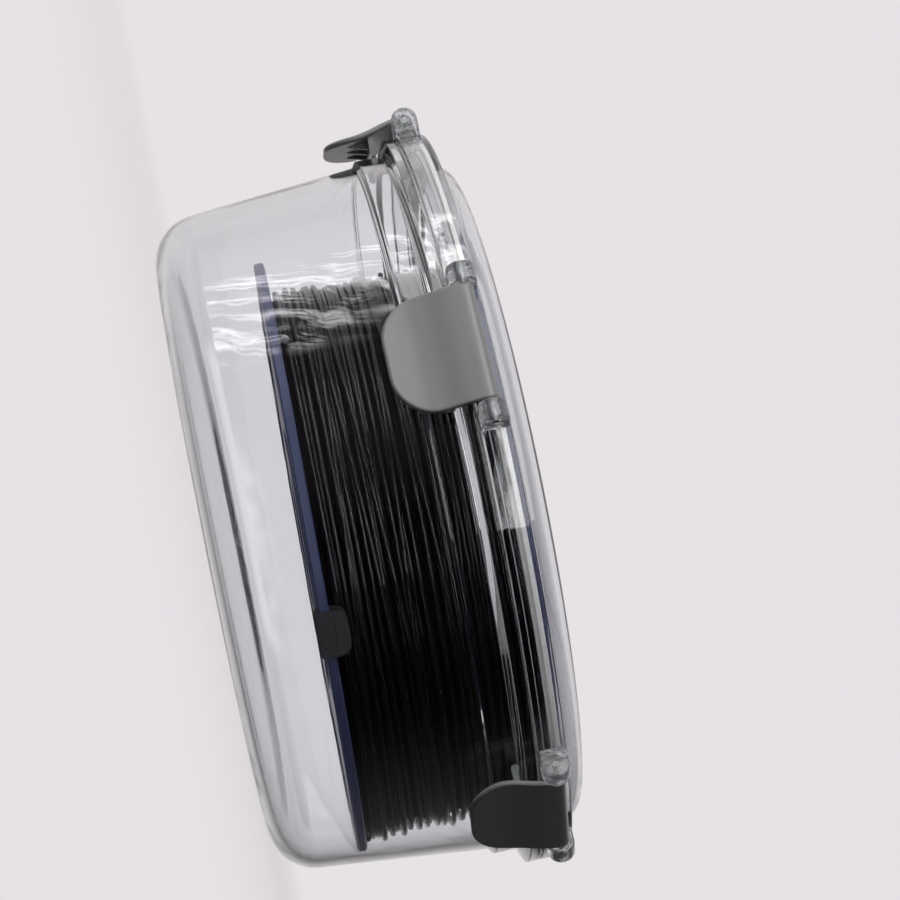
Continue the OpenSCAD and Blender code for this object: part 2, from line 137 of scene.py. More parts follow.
world = bpy.data.worlds.new("studio")
world.use_nodes = True
bpy.context.scene.world = world
tree = world.node_tree
tree.nodes.clear()
way = add(tree, "ShaderNodeTexCoord").outputs["Generated"]
above, behind, along = (
    add(tree, "ShaderNodeVectorMath", {0: way, 1: axis.tolist()}, operation="DOT_PRODUCT")
    for axis in (UP, LOOK, RIGHT))
print("backdrop grey", [round(c, 3) for c in PALE[:3]])

# %% [markdown]
# Matt surfaces gather light from the whole room. It comes mostly from the top and from the lit
# wall behind, and a side that faces neither is left dark. Rays that pass through the clear walls
# see the pale backdrop, but it gets darker far down the room, so that thick clear edges, which
# bend the view down there, are drawn in grey.

# %% What matt surfaces and see-through rays meet
TOP_LIGHT = {"From Min": -0.3, "From Max": 0.8, "To Min": 0.02, "To Max": 0.6}
WALL_LIGHT = {"From Min": 0.1, "From Max": 0.8, "To Min": 0.0, "To Max": 0.75}
DIM_BOTTOM = {"From Min": -0.86, "From Max": -0.62, "To Min": 0.5, "To Max": 1.06}

top_light = add(tree, "ShaderNodeMapRange", {"Value": above, **TOP_LIGHT})
wall_light = add(tree, "ShaderNodeMapRange", {"Value": behind, **WALL_LIGHT}, **SMOOTH)
level = add(tree, "ShaderNodeMath", {0: top_light, 1: wall_light}, operation="MAXIMUM")
ambient = add(tree, "ShaderNodeBackground", {"Color": linear("#F2F0F2"), "Strength": level})
dimmed = add(tree, "ShaderNodeMapRange", {"Value": above, **DIM_BOTTOM}, **SMOOTH)
through = add(tree, "ShaderNodeBackground", {"Color": PALE, "Strength": dimmed})
print("backdrop through the box:", DIM_BOTTOM["To Min"], "to", DIM_BOTTOM["To Max"])

# %% [markdown]
# Mirrored rays see a room that is lit from the wall behind, and gets darker in front, below and to
# the left. That gives clear edges their thin dark lines, and keeps reflections weak where the
# black winding shows through.

# %% The dark parts of the mirrored room
FRONT = {"From Min": -0.5, "From Max": 0.35, "To Min": 0.06, "To Max": 0.9}
BELOW = {"From Min": -0.38, "From Max": 0.08, "To Min": 0.08, "To Max": 1.0}
LEFT = {"From Min": -0.9, "From Max": -0.45, "To Min": 0.3, "To Max": 1.0}
WALL_RAISES = 0.3  # the dark below starts lower down towards the wall behind

raised = add(tree, "ShaderNodeMath", {0: behind, 1: WALL_RAISES, 2: above},
             operation="MULTIPLY_ADD")
front = add(tree, "ShaderNodeMapRange", {"Value": behind, **FRONT}, **SMOOTH)
below = add(tree, "ShaderNodeMapRange", {"Value": raised, **BELOW}, **SMOOTH)
left = add(tree, "ShaderNodeMapRange", {"Value": along, **LEFT}, **SMOOTH)
room = add(tree, "ShaderNodeMath", {0: front, 1: below}, operation="MULTIPLY")
room = add(tree, "ShaderNodeMath", {0: room, 1: left}, operation="MULTIPLY")
print("mirrored room:", FRONT["To Min"], "in front,", FRONT["To Max"], "behind")

# %% [markdown]
# Two bright things stand out in the mirrored room. A creased cloth hangs before a lamp near the
# top and shows as torn, wavy streaks, and a long strip shows as one soft band along the wall. Both
# are cut out by windows in two measures: the arc, which is the angle from the room's top towards
# the eye, and how far a ray points to the right.

# %% Creased cloth and bright strip in the mirrored room
FOLD_TILT, FOLDS_ACROSS, FOLDS_ALONG = -4.1, 21.0, 24.0
TORN = {"From Min": 0.5, "From Max": 0.62, "To Min": 0.0, "To Max": 1.0}
STRIP_TILT = -0.19
CLOTH_LIGHT, STRIP_LIGHT = 6.0, 2.2
# each window's middle, half its width, and its soft edge
CLOTH_ARC, CLOTH_RIGHT = (0.18, 0.26, 0.12), (-0.2, 0.13, 0.03)
STRIP_ARC, STRIP_SLANT = (1.25, 0.8, 0.25), (-0.53, 0.098, 0.014)


def window(tree, value, middle, half, soft):
    """1 where |value - middle| is under half, then a smooth fall to 0 over the soft distance."""
    gap = add(tree, "ShaderNodeMath", {0: value, 1: middle}, operation="SUBTRACT")
    gap = add(tree, "ShaderNodeMath", {0: gap}, operation="ABSOLUTE")
    return add(tree, "ShaderNodeMapRange", {
        "Value": gap, "From Min": half, "From Max": half + soft,
        "To Min": 1.0, "To Max": 0.0}, **SMOOTH)


toward = add(tree, "ShaderNodeMath", {0: behind, 1: -1.0}, operation="MULTIPLY")
arc = add(tree, "ShaderNodeMath", {0: toward, 1: above}, operation="ARCTAN2")
tilted = add(tree, "ShaderNodeMath", {0: along, 1: FOLD_TILT, 2: arc}, operation="MULTIPLY_ADD")
cloth = add(tree, "ShaderNodeCombineXYZ", {
    "X": add(tree, "ShaderNodeMath", {0: tilted, 1: FOLDS_ACROSS}, operation="MULTIPLY"),
    "Y": add(tree, "ShaderNodeMath", {0: along, 1: FOLDS_ALONG}, operation="MULTIPLY")})
folds = add(tree, "ShaderNodeTexNoise", {
    "Vector": cloth, "Scale": 1.0, "Detail": 4.0, "Roughness": 0.62})
streaks = add(tree, "ShaderNodeMapRange", {"Value": folds, **TORN}, **SMOOTH)
for limit in (window(tree, arc, *CLOTH_ARC), window(tree, along, *CLOTH_RIGHT)):
    streaks = add(tree, "ShaderNodeMath", {0: streaks, 1: limit}, operation="MULTIPLY")

slant = add(tree, "ShaderNodeMath", {0: arc, 1: STRIP_TILT, 2: along}, operation="MULTIPLY_ADD")
strip = add(tree, "ShaderNodeMath", {
    0: window(tree, slant, *STRIP_SLANT), 1: window(tree, arc, *STRIP_ARC)}, operation="MULTIPLY")

lit = add(tree, "ShaderNodeMath", {0: streaks, 1: CLOTH_LIGHT, 2: room}, operation="MULTIPLY_ADD")
lit = add(tree, "ShaderNodeMath", {0: strip, 1: STRIP_LIGHT, 2: lit}, operation="MULTIPLY_ADD")
mirrored = add(tree, "ShaderNodeBackground", {"Color": PALE, "Strength": lit})
print("cloth adds", CLOTH_LIGHT, "and the strip", STRIP_LIGHT)

# %% [markdown]
# A ray carries counters of what it has met on its way. One that was scattered gets the matt light,
# one that was only mirrored gets the mirrored room, and one that only passed through clear plastic
# gets the dimmed backdrop. What the lens sees directly is the backdrop at strength 1, so it
# renders as it is written.

# %% Which ray sees what
ONCE = 0.5  # a counter above a half has counted once or more
path = add(tree, "ShaderNodeLightPath").outputs
was_mirrored = add(tree, "ShaderNodeMath", {0: path["Glossy Depth"], 1: ONCE},
                   operation="GREATER_THAN")
was_scattered = add(tree, "ShaderNodeMath", {0: path["Diffuse Depth"], 1: ONCE},
                    operation="GREATER_THAN")
backdrop = add(tree, "ShaderNodeBackground", {"Color": PALE, "Strength": 1.0})
seen = add(tree, "ShaderNodeMixShader", {0: was_mirrored, 1: through, 2: mirrored})
seen = add(tree, "ShaderNodeMixShader", {0: was_scattered, 1: seen, 2: ambient})
seen = add(tree, "ShaderNodeMixShader", {0: path["Is Camera Ray"], 1: seen, 2: backdrop})
add(tree, "ShaderNodeOutputWorld", {"Surface": seen})
print("world nodes:", len(tree.nodes))

# %% [markdown]
# ## The floor
# The box stands on a wide sheet of studio paper. Lit paper alone would come out in another grey
# than the backdrop, so the lens sees it glow in the backdrop's colour, mixed with real, matt paper
# close to the box, where it shows the box's shadow. Mirrors see through it to the painted room,
# and scattered rays find it dull, so that it throws little light up at the latches from below.

# %% Floor
FLOOR_HALF_M = 9
GLOW_NEAR_BOX = {"From Min": 0.12, "From Max": 0.5, "To Min": 0.84, "To Max": 1.0}
PAPER_GRAINS_PER_M = 40.0  # cloudy paper, one cloud every 25 mm

paper, tree = new_material("studio_paper")
path = add(tree, "ShaderNodeLightPath").outputs
place = add(tree, "ShaderNodeTexCoord").outputs["Object"]
seen = add(tree, "ShaderNodeMath", {0: path["Is Camera Ray"], 1: path["Is Transmission Ray"]},
           operation="MAXIMUM")
far = add(tree, "ShaderNodeVectorMath", {0: place}, operation="LENGTH")
fade = add(tree, "ShaderNodeMapRange", {"Value": far, **GLOW_NEAR_BOX}, **SMOOTH)
share = add(tree, "ShaderNodeMath", {0: seen, 1: fade}, operation="MULTIPLY")
grain = add(tree, "ShaderNodeTexNoise", {"Scale": PAPER_GRAINS_PER_M, "Detail": 2.0})
tone = add(tree, "ShaderNodeValToRGB", {"Fac": grain}, [(0.3, "#D8D4D7"), (0.7, "#DCD8DB")])
matt = add(tree, "ShaderNodeBsdfDiffuse", {"Color": tone})
dull = add(tree, "ShaderNodeBsdfDiffuse", {"Color": linear("#4A484A")})
glow = add(tree, "ShaderNodeEmission", {"Color": PALE, "Strength": 1.0})
open_air = add(tree, "ShaderNodeBsdfTransparent")
was_mirrored = add(tree, "ShaderNodeMath", {0: path["Glossy Depth"], 1: ONCE},
                   operation="GREATER_THAN")
was_scattered = add(tree, "ShaderNodeMath", {0: path["Diffuse Depth"], 1: ONCE},
                    operation="GREATER_THAN")
sheet = add(tree, "ShaderNodeMixShader", {0: was_scattered, 1: matt, 2: dull})
sheet = add(tree, "ShaderNodeMixShader", {0: share, 1: sheet, 2: glow})
sheet = add(tree, "ShaderNodeMixShader", {0: was_mirrored, 1: sheet, 2: open_air})
add(tree, "ShaderNodeOutputMaterial", {"Surface": sheet})

h = FLOOR_HALF_M
floor_mesh = bpy.data.meshes.new("floor")
floor_mesh.from_pydata([(-h, -h, 0), (h, -h, 0), (h, h, 0), (-h, h, 0)], [], [(0, 1, 2, 3)])
floor_mesh.materials.append(paper)
floor = bpy.data.objects.new("floor", floor_mesh)
bpy.context.scene.collection.objects.link(floor)
print("floor:", 2 * h, "m wide")

# %% [markdown]
# ## The lamps
# Two soft boxes light the box itself. The long one hangs above and in front of it, and only
# mirrors see it: it draws the broad highlights along the clear walls and on the winding. The small
# one lights only matt surfaces, from near the top, and is what makes the latches' fronts grey
# instead of black. Each could do both, but then neither could be set without the other. Their
# places are given as an arc and a distance round the box, so that they are easy to move.

# %% Lamps
MIDDLE, LAMP_DISTANCE = np.array([0, 0, 0.05]), 1.1  # metres
LONG_ARC, LONG_SHIFT, LONG_TURN = 52, 0.53, 0.24  # degrees, metres, slant of its long side
FILL_ARC, FILL_RIGHT = 32, 0.15  # degrees, and how far it hangs to the right


def from_middle(arc, right, distance):
    """A place round the box: middle + distance (sqrt(1 - right^2) (cos a up - sin a look) + right
    times the view's right), with the arc a in degrees."""
    a = np.radians(arc)
    round_box = np.cos(a) * UP - np.sin(a) * LOOK
    return MIDDLE + distance * (np.sqrt(1 - right ** 2) * round_box + right * RIGHT)


def softbox(name, place, aim, along, width, height, power, seen_by):
    """A rectangular lamp at a place in metres, turned to face its aim: its back is the direction
    from aim to place, and its side is the given one made square to that. It is seen by mirrors or
    by matt surfaces."""
    lamp = bpy.data.lights.new(name, "AREA")
    lamp.shape, lamp.size, lamp.size_y, lamp.energy = "RECTANGLE", width, height, power
    held = bpy.data.objects.new(name, lamp)
    bpy.context.scene.collection.objects.link(held)
    back = (place - aim) / np.linalg.norm(place - aim)
    side = along - back * (along @ back)
    side /= np.linalg.norm(side)
    turn = Matrix(np.stack([side, np.cross(back, side), back], 1).tolist())
    held.matrix_world = Matrix.Translation(place) @ turn.to_4x4()
    held.visible_camera = False
    held.visible_glossy = held.visible_transmission = seen_by == "mirrors"
    held.visible_diffuse = seen_by == "matt"


arc = np.radians(LONG_ARC)
down_front = -np.sin(arc) * UP - np.cos(arc) * LOOK
beside = LONG_SHIFT * RIGHT
softbox("long_softbox", from_middle(LONG_ARC, 0, LAMP_DISTANCE) + beside, MIDDLE + beside,
        down_front + LONG_TURN * RIGHT, width=2.1, height=0.92, power=17.0, seen_by="mirrors")
softbox("soft_fill", from_middle(FILL_ARC, FILL_RIGHT, LAMP_DISTANCE), MIDDLE, -LOOK,
        width=0.5, height=0.5, power=9.0, seen_by="matt")

# %% [markdown]
# ## Surfaces from arrays
# Most pieces here are either turned round an axis or carried along a path. Both are grids of
# points, so one function numbers the faces of a grid, and the others only work out where the
# points go. An outline is walked with the material on its left, which makes every face look
# outwards. Bevel modifiers could round the edges, but an outline that is rounded first stays exact
# and light.

# %% Grids and rounded outlines
def grid_faces(ids, wrap_rows=False, wrap_columns=False):
    """Quads of a grid of point numbers: each point, its right neighbour, and the same two in the
    next row."""
    rows = np.concatenate([ids, ids[:1]]) if wrap_rows else ids
    full = np.concatenate([rows, rows[:, :1]], 1) if wrap_columns else rows
    corners = [full[:-1, :-1], full[:-1, 1:], full[1:, 1:], full[1:, :-1]]
    return np.stack(corners, -1).reshape(-1, 4)


def rounded(corners, steps=25, hold=0.35, finest=0.12):
    """A closed outline with each corner (x, y, radius) rounded. The arc's centre lies on the
    corner's bisector at radius / sin(half the angle). Points closer than the finest step are
    dropped, and two more points hold each long side flat, so that smooth shading stays in the
    corner."""
    corners = np.array(corners, float)
    p, radius = corners[:, :2], corners[:, 2]
    u, v = np.roll(p, 1, 0) - p, np.roll(p, -1, 0) - p
    u /= np.linalg.norm(u, axis=1)[:, None]
    v /= np.linalg.norm(v, axis=1)[:, None]
    half = np.arccos(np.clip((u * v).sum(1), -1, 1)) / 2
    inward = (u + v) / np.linalg.norm(u + v, axis=1)[:, None]
    centre = p + inward * (radius / np.sin(half))[:, None]
    reach = (radius / np.tan(half))[:, None]
    a, b = p + u * reach - centre, p + v * reach - centre
    first = np.arctan2(a[:, 1], a[:, 0])
    sweep = (np.arctan2(b[:, 1], b[:, 0]) - first + np.pi) % (2 * np.pi) - np.pi
    angle = first[:, None] + sweep[:, None] * np.linspace(0, 1, steps)
    round_it = radius[:, None, None] * np.stack([np.cos(angle), np.sin(angle)], -1)
    line = (centre[:, None] + round_it).reshape(-1, 2)
    gone = np.cumsum(np.linalg.norm(line - np.roll(line, 1, 0), axis=1))
    ends = np.arange(len(line)) % steps
    kept = np.unique(np.floor(gone / finest), return_index=True)[1]
    arc_ends = np.flatnonzero((ends == 0) | (ends == steps - 1))
    line = line[np.unique(np.concatenate([kept, arc_ends]))]
    step = np.roll(line, -1, 0) - line
    length = np.linalg.norm(step, axis=1)
    apart = length > 1e-5
    line, step, length = line[apart], step[apart], length[apart]
    near = (step / length[:, None]) * hold
    held = np.stack([line, line + near, line + step - near], 1)
    keep = np.stack([length > 0, length > 3 * hold, length > 3 * hold], 1)
    return held[keep]


square = [(0, 0, 1), (9, 0, 1), (9, 9, 1), (0, 9, 1)]
print("a rounded square has", len(rounded(square)), "points")

# %% [markdown]
# Three ways to give an outline a body: turn it round the axis as on a lathe, carry it straight
# with soft ends like a cushion, or carry a circle along a path like a wire. Each returns its
# points and its blocks of faces.

# %% Turned, padded and drawn bodies
def revolve(outline, steps=360):
    """Carries an outline of (radius, height) round the Z axis: x = r cos a, y = r sin a, z =
    height. An outline that starts and ends on the axis is closed by one point at each pole."""
    on_axis = outline[:, 0] < 1e-6
    rim = outline[~on_axis]
    a = np.linspace(0, 2 * np.pi, steps, endpoint=False)
    points = np.stack([np.outer(np.cos(a), rim[:, 0]), np.outer(np.sin(a), rim[:, 0]),
                       np.tile(rim[:, 1], (steps, 1))], -1).reshape(-1, 3)
    ids = np.arange(len(points)).reshape(steps, len(rim))
    faces = [grid_faces(ids, True, not on_axis.any())[:, ::-1]]
    if on_axis.any():
        points = np.vstack([points, [[0, 0, outline[0, 1]], [0, 0, outline[-1, 1]]]])
        low, high, after = len(points) - 2, len(points) - 1, np.roll(ids, -1, 0)
        faces += [np.stack([np.full(steps, low), after[:, 0], ids[:, 0]], -1),
                  np.stack([np.full(steps, high), ids[:, -1], after[:, -1]], -1)]
    return points, faces


def pillow(outline, start, stop, edge, steps=5):
    """An outline of (x, z), walked anticlockwise, carried along Y from start to stop. Near both
    ends it shrinks inwards by edge (1 - sin t) while it moves edge (1 - cos t), which rounds the
    ends. One more ring, a little further in, keeps the flat ends flat when they are shaded
    smooth."""
    tangent = np.roll(outline, -1, 0) - np.roll(outline, 1, 0)
    length = np.linalg.norm(tangent, axis=1)[:, None]
    normal = np.stack([tangent[:, 1], -tangent[:, 0]], 1) / length
    t = np.linspace(0, np.pi / 2, steps)
    shrink, move = edge * (1 - np.sin(t)), edge * (1 - np.cos(t))
    inset = np.concatenate([[1.2 * edge], shrink, shrink[::-1], [1.2 * edge]])
    along = np.concatenate([[start], start + move, stop - move[::-1], [stop]])
    flat = outline[None] - normal[None] * inset[:, None, None]
    across = np.broadcast_to(along[:, None], flat.shape[:2])
    points = np.stack([flat[..., 0], across, flat[..., 1]], -1)
    ids = np.arange(points.shape[0] * points.shape[1]).reshape(points.shape[:2])
    sides = grid_faces(ids, False, True)[:, ::-1]
    return points.reshape(-1, 3), [sides, ids[0][None], ids[-1][None, ::-1]]


def tube(path, out, radius, sides=8):
    """A circle carried along a path, square to it: point = path + radius (cos b out' + sin b
    side), where out' is the given outward direction made square to the path, and side is square to
    both."""
    along = np.gradient(path, axis=0)
    along /= np.linalg.norm(along, axis=1)[:, None]
    out = out - along * (out * along).sum(1)[:, None]
    out /= np.linalg.norm(out, axis=1)[:, None]
    side = np.cross(along, out)
    b = np.linspace(0, 2 * np.pi, sides, endpoint=False)
    radius = np.broadcast_to(radius, len(path))
    points = path[:, None] + radius[:, None, None] * (
        np.cos(b)[None, :, None] * out[:, None] + np.sin(b)[None, :, None] * side[:, None])
    ids = np.arange(len(path) * sides).reshape(len(path), sides)
    return points.reshape(-1, 3), [grid_faces(ids, False, True), ids[0][None, ::-1], ids[-1][None]]


print("a cushion of that square has", len(pillow(rounded(square), 0, 5, 1)[0]), "points")

# %% [markdown]
# Several bodies can go in one piece, and a piece can be turned to its place round the box. The
# last helper makes the mesh in metres, tells the frame which body it rides on and which CAD solids
# it stands for, and names its material slot.

# %% Joining, turning and placing
MM = 0.001


def together(*surfaces):
    """Puts several surfaces in one list of points and faces."""
    points, faces, count = [], [], 0
    for p, blocks in surfaces:
        points.append(p)
        faces += [np.asarray(block) + count for block in blocks]
        count += len(p)
    return np.vstack(points), faces


def turned(surface, degrees):
    """A surface turned round the box's axis: x cos a - y sin a, x sin a + y cos a."""
    a = np.radians(degrees)
    spin = np.array([[np.cos(a), np.sin(a), 0], [-np.sin(a), np.cos(a), 0], [0, 0, 1]])
    return surface[0] @ spin, surface[1]


def put(name, surface, finish, body, stands_for=(), sharp=None):
    """Puts a surface in a mesh object that rides on a body and stands for some CAD nodes. Edges
    bent by more than sharp degrees are shaded sharp."""
    points, faces = surface
    mesh = bpy.data.meshes.new(name)
    mesh.from_pydata((points * MM).tolist(), [], [f for block in faces for f in block.tolist()])
    mesh.validate()
    mesh.shade_smooth()
    if sharp:
        mesh.set_sharp_from_angle(angle=np.radians(sharp))
    mesh.materials.append(finish)
    made = bpy.data.objects.new(name, mesh)
    bpy.context.scene.collection.objects.link(made)
    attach(made, body)
    if stands_for:
        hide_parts(*stands_for)
    return made


print("one metre is", round(1 / MM), "of the formulas' units")

# %% [markdown]
# ## Clear plastic
# The tub and lid are moulded in a clear, hard plastic such as AS resin. To the eye it is close to
# glass, with an IOR of 1.57, and its thick edges look streaky, because light runs along inside
# them. A thin see-through film would be quicker but has no such edges, so this is a Principled
# shader with full transmission on closed walls, and it needs every face to look outwards. Light
# fades a little on its way through the thickness, which is the volume's absorption. A lamp would
# hardly reach the spool through such a shader, so its shadow ray meets a nearly clear film
# instead.
#
# Moulded walls are never quite flat. Slow waves about 26 mm long, too low to measure, make
# reflections wander, and fine streaks follow the way the melt ran. Handling marks are a faint haze
# in the roughness. The lid's ears are small and thick, with waves about 2 mm long and a little
# cloud in them, so they glint where the walls are clear.

# %% Clear plastic
MELT_STREAKS_PER_M = (90.0, 90.0, 14.0)  # streaks 11 mm wide and 70 mm long
STREAK_SHARE = 0.12
MARKS_PER_M = 60.0  # handling marks, one every 17 mm
WAVE_HEIGHT_M = 0.0006


def clear_plastic(name, tint, ripple, haze, cloud=0.0, wave_mm=26.0):
    """Skin height = slow waves + 0.12 melt streaks, and ripple is how strongly it tilts the light.
    Cloud is the share that is not clear, and haze the least roughness."""
    made, tree = new_material(name)
    place = add(tree, "ShaderNodeTexCoord").outputs["Object"]
    waves = add(tree, "ShaderNodeTexNoise", {
        "Vector": place, "Scale": 1000 / wave_mm, "Detail": 2.0, "Roughness": 0.45})
    flow = add(tree, "ShaderNodeMapping", {"Vector": place, "Scale": MELT_STREAKS_PER_M})
    streak = add(tree, "ShaderNodeTexNoise", {"Vector": flow, "Scale": 1.0, "Detail": 3.0})
    height = add(tree, "ShaderNodeMath", {0: streak, 1: STREAK_SHARE, 2: waves},
                 operation="MULTIPLY_ADD")
    bump = add(tree, "ShaderNodeBump", {
        "Height": height, "Strength": ripple, "Distance": WAVE_HEIGHT_M})
    marks = add(tree, "ShaderNodeTexNoise", {"Vector": place, "Scale": MARKS_PER_M, "Detail": 4.0})
    rough = add(tree, "ShaderNodeMapRange", {
        "Value": marks, "From Min": 0.45, "From Max": 0.75, "To Min": haze, "To Max": haze + 0.05})
    body = add(tree, "ShaderNodeBsdfPrincipled", {
        "Base Color": linear(tint), "Roughness": rough, "IOR": 1.57,
        "Transmission Weight": 1.0 - cloud, "Normal": bump})
    film = add(tree, "ShaderNodeBsdfTransparent", {"Color": linear("#F0F1F2")})
    path = add(tree, "ShaderNodeLightPath").outputs
    mixed = add(tree, "ShaderNodeMixShader", {0: path["Is Shadow Ray"], 1: body, 2: film})
    depth = add(tree, "ShaderNodeVolumeAbsorption", {"Color": linear("#B4BABC"), "Density": 4.0})
    add(tree, "ShaderNodeOutputMaterial", {"Surface": mixed, "Volume": depth})
    return made


as_resin_tub = clear_plastic("moulded_as_resin_tub", "#FAFBFC", ripple=0.14, haze=0.0)
as_resin_lid = clear_plastic("moulded_as_resin_lid", "#F8F9FA", ripple=0.2, haze=0.0)
as_resin_ears = clear_plastic("moulded_as_resin_ears", "#C6C8CA", ripple=0.7, haze=0.05,
                              cloud=0.1, wave_mm=2.2)
print("clear plastics:", as_resin_tub.name, as_resin_lid.name, as_resin_ears.name)

# %% [markdown]
# ## The tub
# The tub is one turned shape: a flat floor, a sloping wall, a step out to a plain band, a flange
# that the latches hook under, and a thin rim that meets the lid's seal. Its outline is written as
# corners with their rounding, walked up the outside and down the inside, and revolved in 360
# steps, so that its edge is smooth enough for a clear wall.

# %% Tub
SLOPE = np.tan(np.radians(5.5))
BASE_R, FLOOR_T, RIM_T = 108.0, 2.6, 2.4
WALL = 2.411  # 2.4 mm thick, measured level instead of square to its slope
TUB_H, STEP_Z, BAND_TOP_Z, FLANGE_LOW_Z, RIM_Z = 84.0, 69.1, 78.4, 80.4, 89.0
STEP_R = BASE_R + STEP_Z * SLOPE
BAND_R = STEP_R + 1.95
FLANGE_R = BAND_R + 4.9

tub_outline = rounded([
    # floor's middle, foot of the wall, and the step out to the band
    (0, 0, 0), (BASE_R, 0, 15.5), (STEP_R, STEP_Z, 0.5), (BAND_R, STEP_Z + 1.4, 0.5),
    # flange
    (BAND_R, BAND_TOP_Z, 0.5), (FLANGE_R, FLANGE_LOW_Z, 0.4), (FLANGE_R, TUB_H, 0.5),
    (BAND_R, TUB_H, 0.3),
    # rim, then down the inside
    (BAND_R, RIM_Z, 0.5), (BAND_R - RIM_T, RIM_Z, 0.5),
    (BAND_R - RIM_T, STEP_Z + 1.7, 0.5), (STEP_R - WALL, STEP_Z + 0.3, 0.5),
    (BASE_R + FLOOR_T * SLOPE - WALL, FLOOR_T, 13.1), (0, FLOOR_T, 0)])
tub = put("clear_tub", revolve(tub_outline), as_resin_tub, "tub", ["tub"])
print("tub:", len(tub.data.polygons), "faces, top at", round(RIM_Z, 1), "mm")

# %% [markdown]
# ## The lid
# The lid is turned as well: a raised top with a rounded edge, a flat shoulder, a skirt that drops
# over the rim, a lip that holds the silicone ring in its channel, and a round pocket in the middle
# for the vent valve. One outline has them all, so the whole lid is one closed solid.

# %% Lid
DOME_R, LID_WALL, SKIRT_T = FLANGE_R - 10.9, 1.8, 3
SKIRT_Z, LIP_Z, SHOULDER_Z, TOP_Z, ROOF_Z = 84.4, 87.4, 93.6, 100.6, 91.8
VENT_R, POCKET_R, POCKET_OUT_R, POCKET_T = 2.08, 11, 12.6, 1.6
POCKET_Z = TOP_Z - 7.6

lid_outline = rounded([
    # under the pocket and out under the top
    (VENT_R, POCKET_Z - POCKET_T, 0.2), (POCKET_OUT_R, POCKET_Z - POCKET_T, 0.4),
    (POCKET_OUT_R, TOP_Z - LID_WALL, 0.4), (DOME_R - LID_WALL, TOP_Z - LID_WALL, 4.8),
    # the lip, the channel for the ring, and the skirt
    (DOME_R - LID_WALL, LIP_Z, 0.4), (DOME_R, LIP_Z, 0.4), (DOME_R, ROOF_Z, 0.3),
    (FLANGE_R - SKIRT_T, ROOF_Z, 0.3), (FLANGE_R - SKIRT_T, SKIRT_Z, 0.3),
    (FLANGE_R, SKIRT_Z, 0.4),
    # up the outside, over the top and into the pocket
    (FLANGE_R, SHOULDER_Z, 0.9), (DOME_R, SHOULDER_Z, 0.3), (DOME_R, TOP_Z, 6.6),
    (POCKET_R, TOP_Z, 0.4), (POCKET_R, POCKET_Z, 0.3), (VENT_R, POCKET_Z, 0.2)])
lid = put("clear_lid", revolve(lid_outline), as_resin_lid, "lid", ["lid"])
print("lid:", len(lid.data.polygons), "faces")

# %% [markdown]
# Ten ears stand out from the skirt, two to a latch, and carry the latch pins. They can't be turned
# with the lid, so they are a piece of their own, made of short cushions. An ear's inner side
# follows the skirt, a hair outside it, so that the two clear solids never overlap.

# %% Ears of the lid
PIVOT_R, PIVOT_Z, LATCH_HALF = FLANGE_R + 2.9, 88.7, 18.7  # the pins, and half a latch's width
EAR_R, EAR_GAP, EAR_END, SKIRT_GAP = 4.3, 0.3, 6.5, 0.04
LATCH_TURN = [-90 + 72 * k for k in range(5)]

ear_angle = np.linspace(-np.pi / 2, np.pi / 2, 21)
ear_nose = np.stack([PIVOT_R + EAR_R * np.cos(ear_angle), PIVOT_Z + EAR_R * np.sin(ear_angle)], 1)
ear_root = [[122.2, PIVOT_Z + EAR_R],  # reaches into the skirt, and is moved out of it below
            [117.4, PIVOT_Z + EAR_R], [117.4, PIVOT_Z], [117.4, PIVOT_Z - EAR_R],
            [122.2, PIVOT_Z - EAR_R]]


def ear(side):
    """An ear beside a latch: x is moved out to sqrt((skirt + 0.04)^2 - y^2) wherever it would
    enter the skirt."""
    near, far = LATCH_HALF + EAR_GAP, LATCH_HALF + EAR_END
    start, stop = (near, far) if side > 0 else (-far, -near)
    points, faces = pillow(np.vstack([ear_nose, ear_root]), start, stop, 0.7)
    skirt = np.sqrt((FLANGE_R + SKIRT_GAP) ** 2 - points[:, 1] ** 2)
    points[:, 0] = np.maximum(points[:, 0], skirt)
    return points, faces


ears = [turned(ear(side), turn) for turn in LATCH_TURN for side in (-1, 1)]
lid_ears = put("clear_lid_ears", together(*ears), as_resin_ears, "lid")
print(len(ears), "ears:", len(lid_ears.data.polygons), "faces")

# %% [markdown]
# ## The silicone ring
# A milky ring lies in the lid's channel and presses two soft lips on the tub's rim. Silicone lets
# light in and scatters it, so to the eye it glows softly instead of shining: the shader mixes some
# transmission with subsurface light, and its skin is dull. It is turned like the tub, from one
# outline that has both lips.

# %% Silicone ring
MOTTLE_PER_M = 300.0  # a mottled skin, one spot every 3 mm

silicone, tree = new_material("moulded_milky_silicone")
place = add(tree, "ShaderNodeTexCoord").outputs["Object"]
mottle = add(tree, "ShaderNodeTexNoise", {"Vector": place, "Scale": MOTTLE_PER_M, "Detail": 3.0})
skin = add(tree, "ShaderNodeBump", {"Height": mottle, "Strength": 0.15, "Distance": 0.0003})
milk = add(tree, "ShaderNodeValToRGB", {"Fac": mottle}, [(0.3, "#E4E4E2"), (0.7, "#EEEEEC")])
body = add(tree, "ShaderNodeBsdfPrincipled", {
    "Base Color": milk, "Roughness": 0.42, "IOR": 1.41, "Transmission Weight": 0.35,
    "Subsurface Weight": 0.3, "Subsurface Radius": (1.0, 0.9, 0.8), "Subsurface Scale": 0.002,
    "Normal": skin})
add(tree, "ShaderNodeOutputMaterial", {"Surface": body})

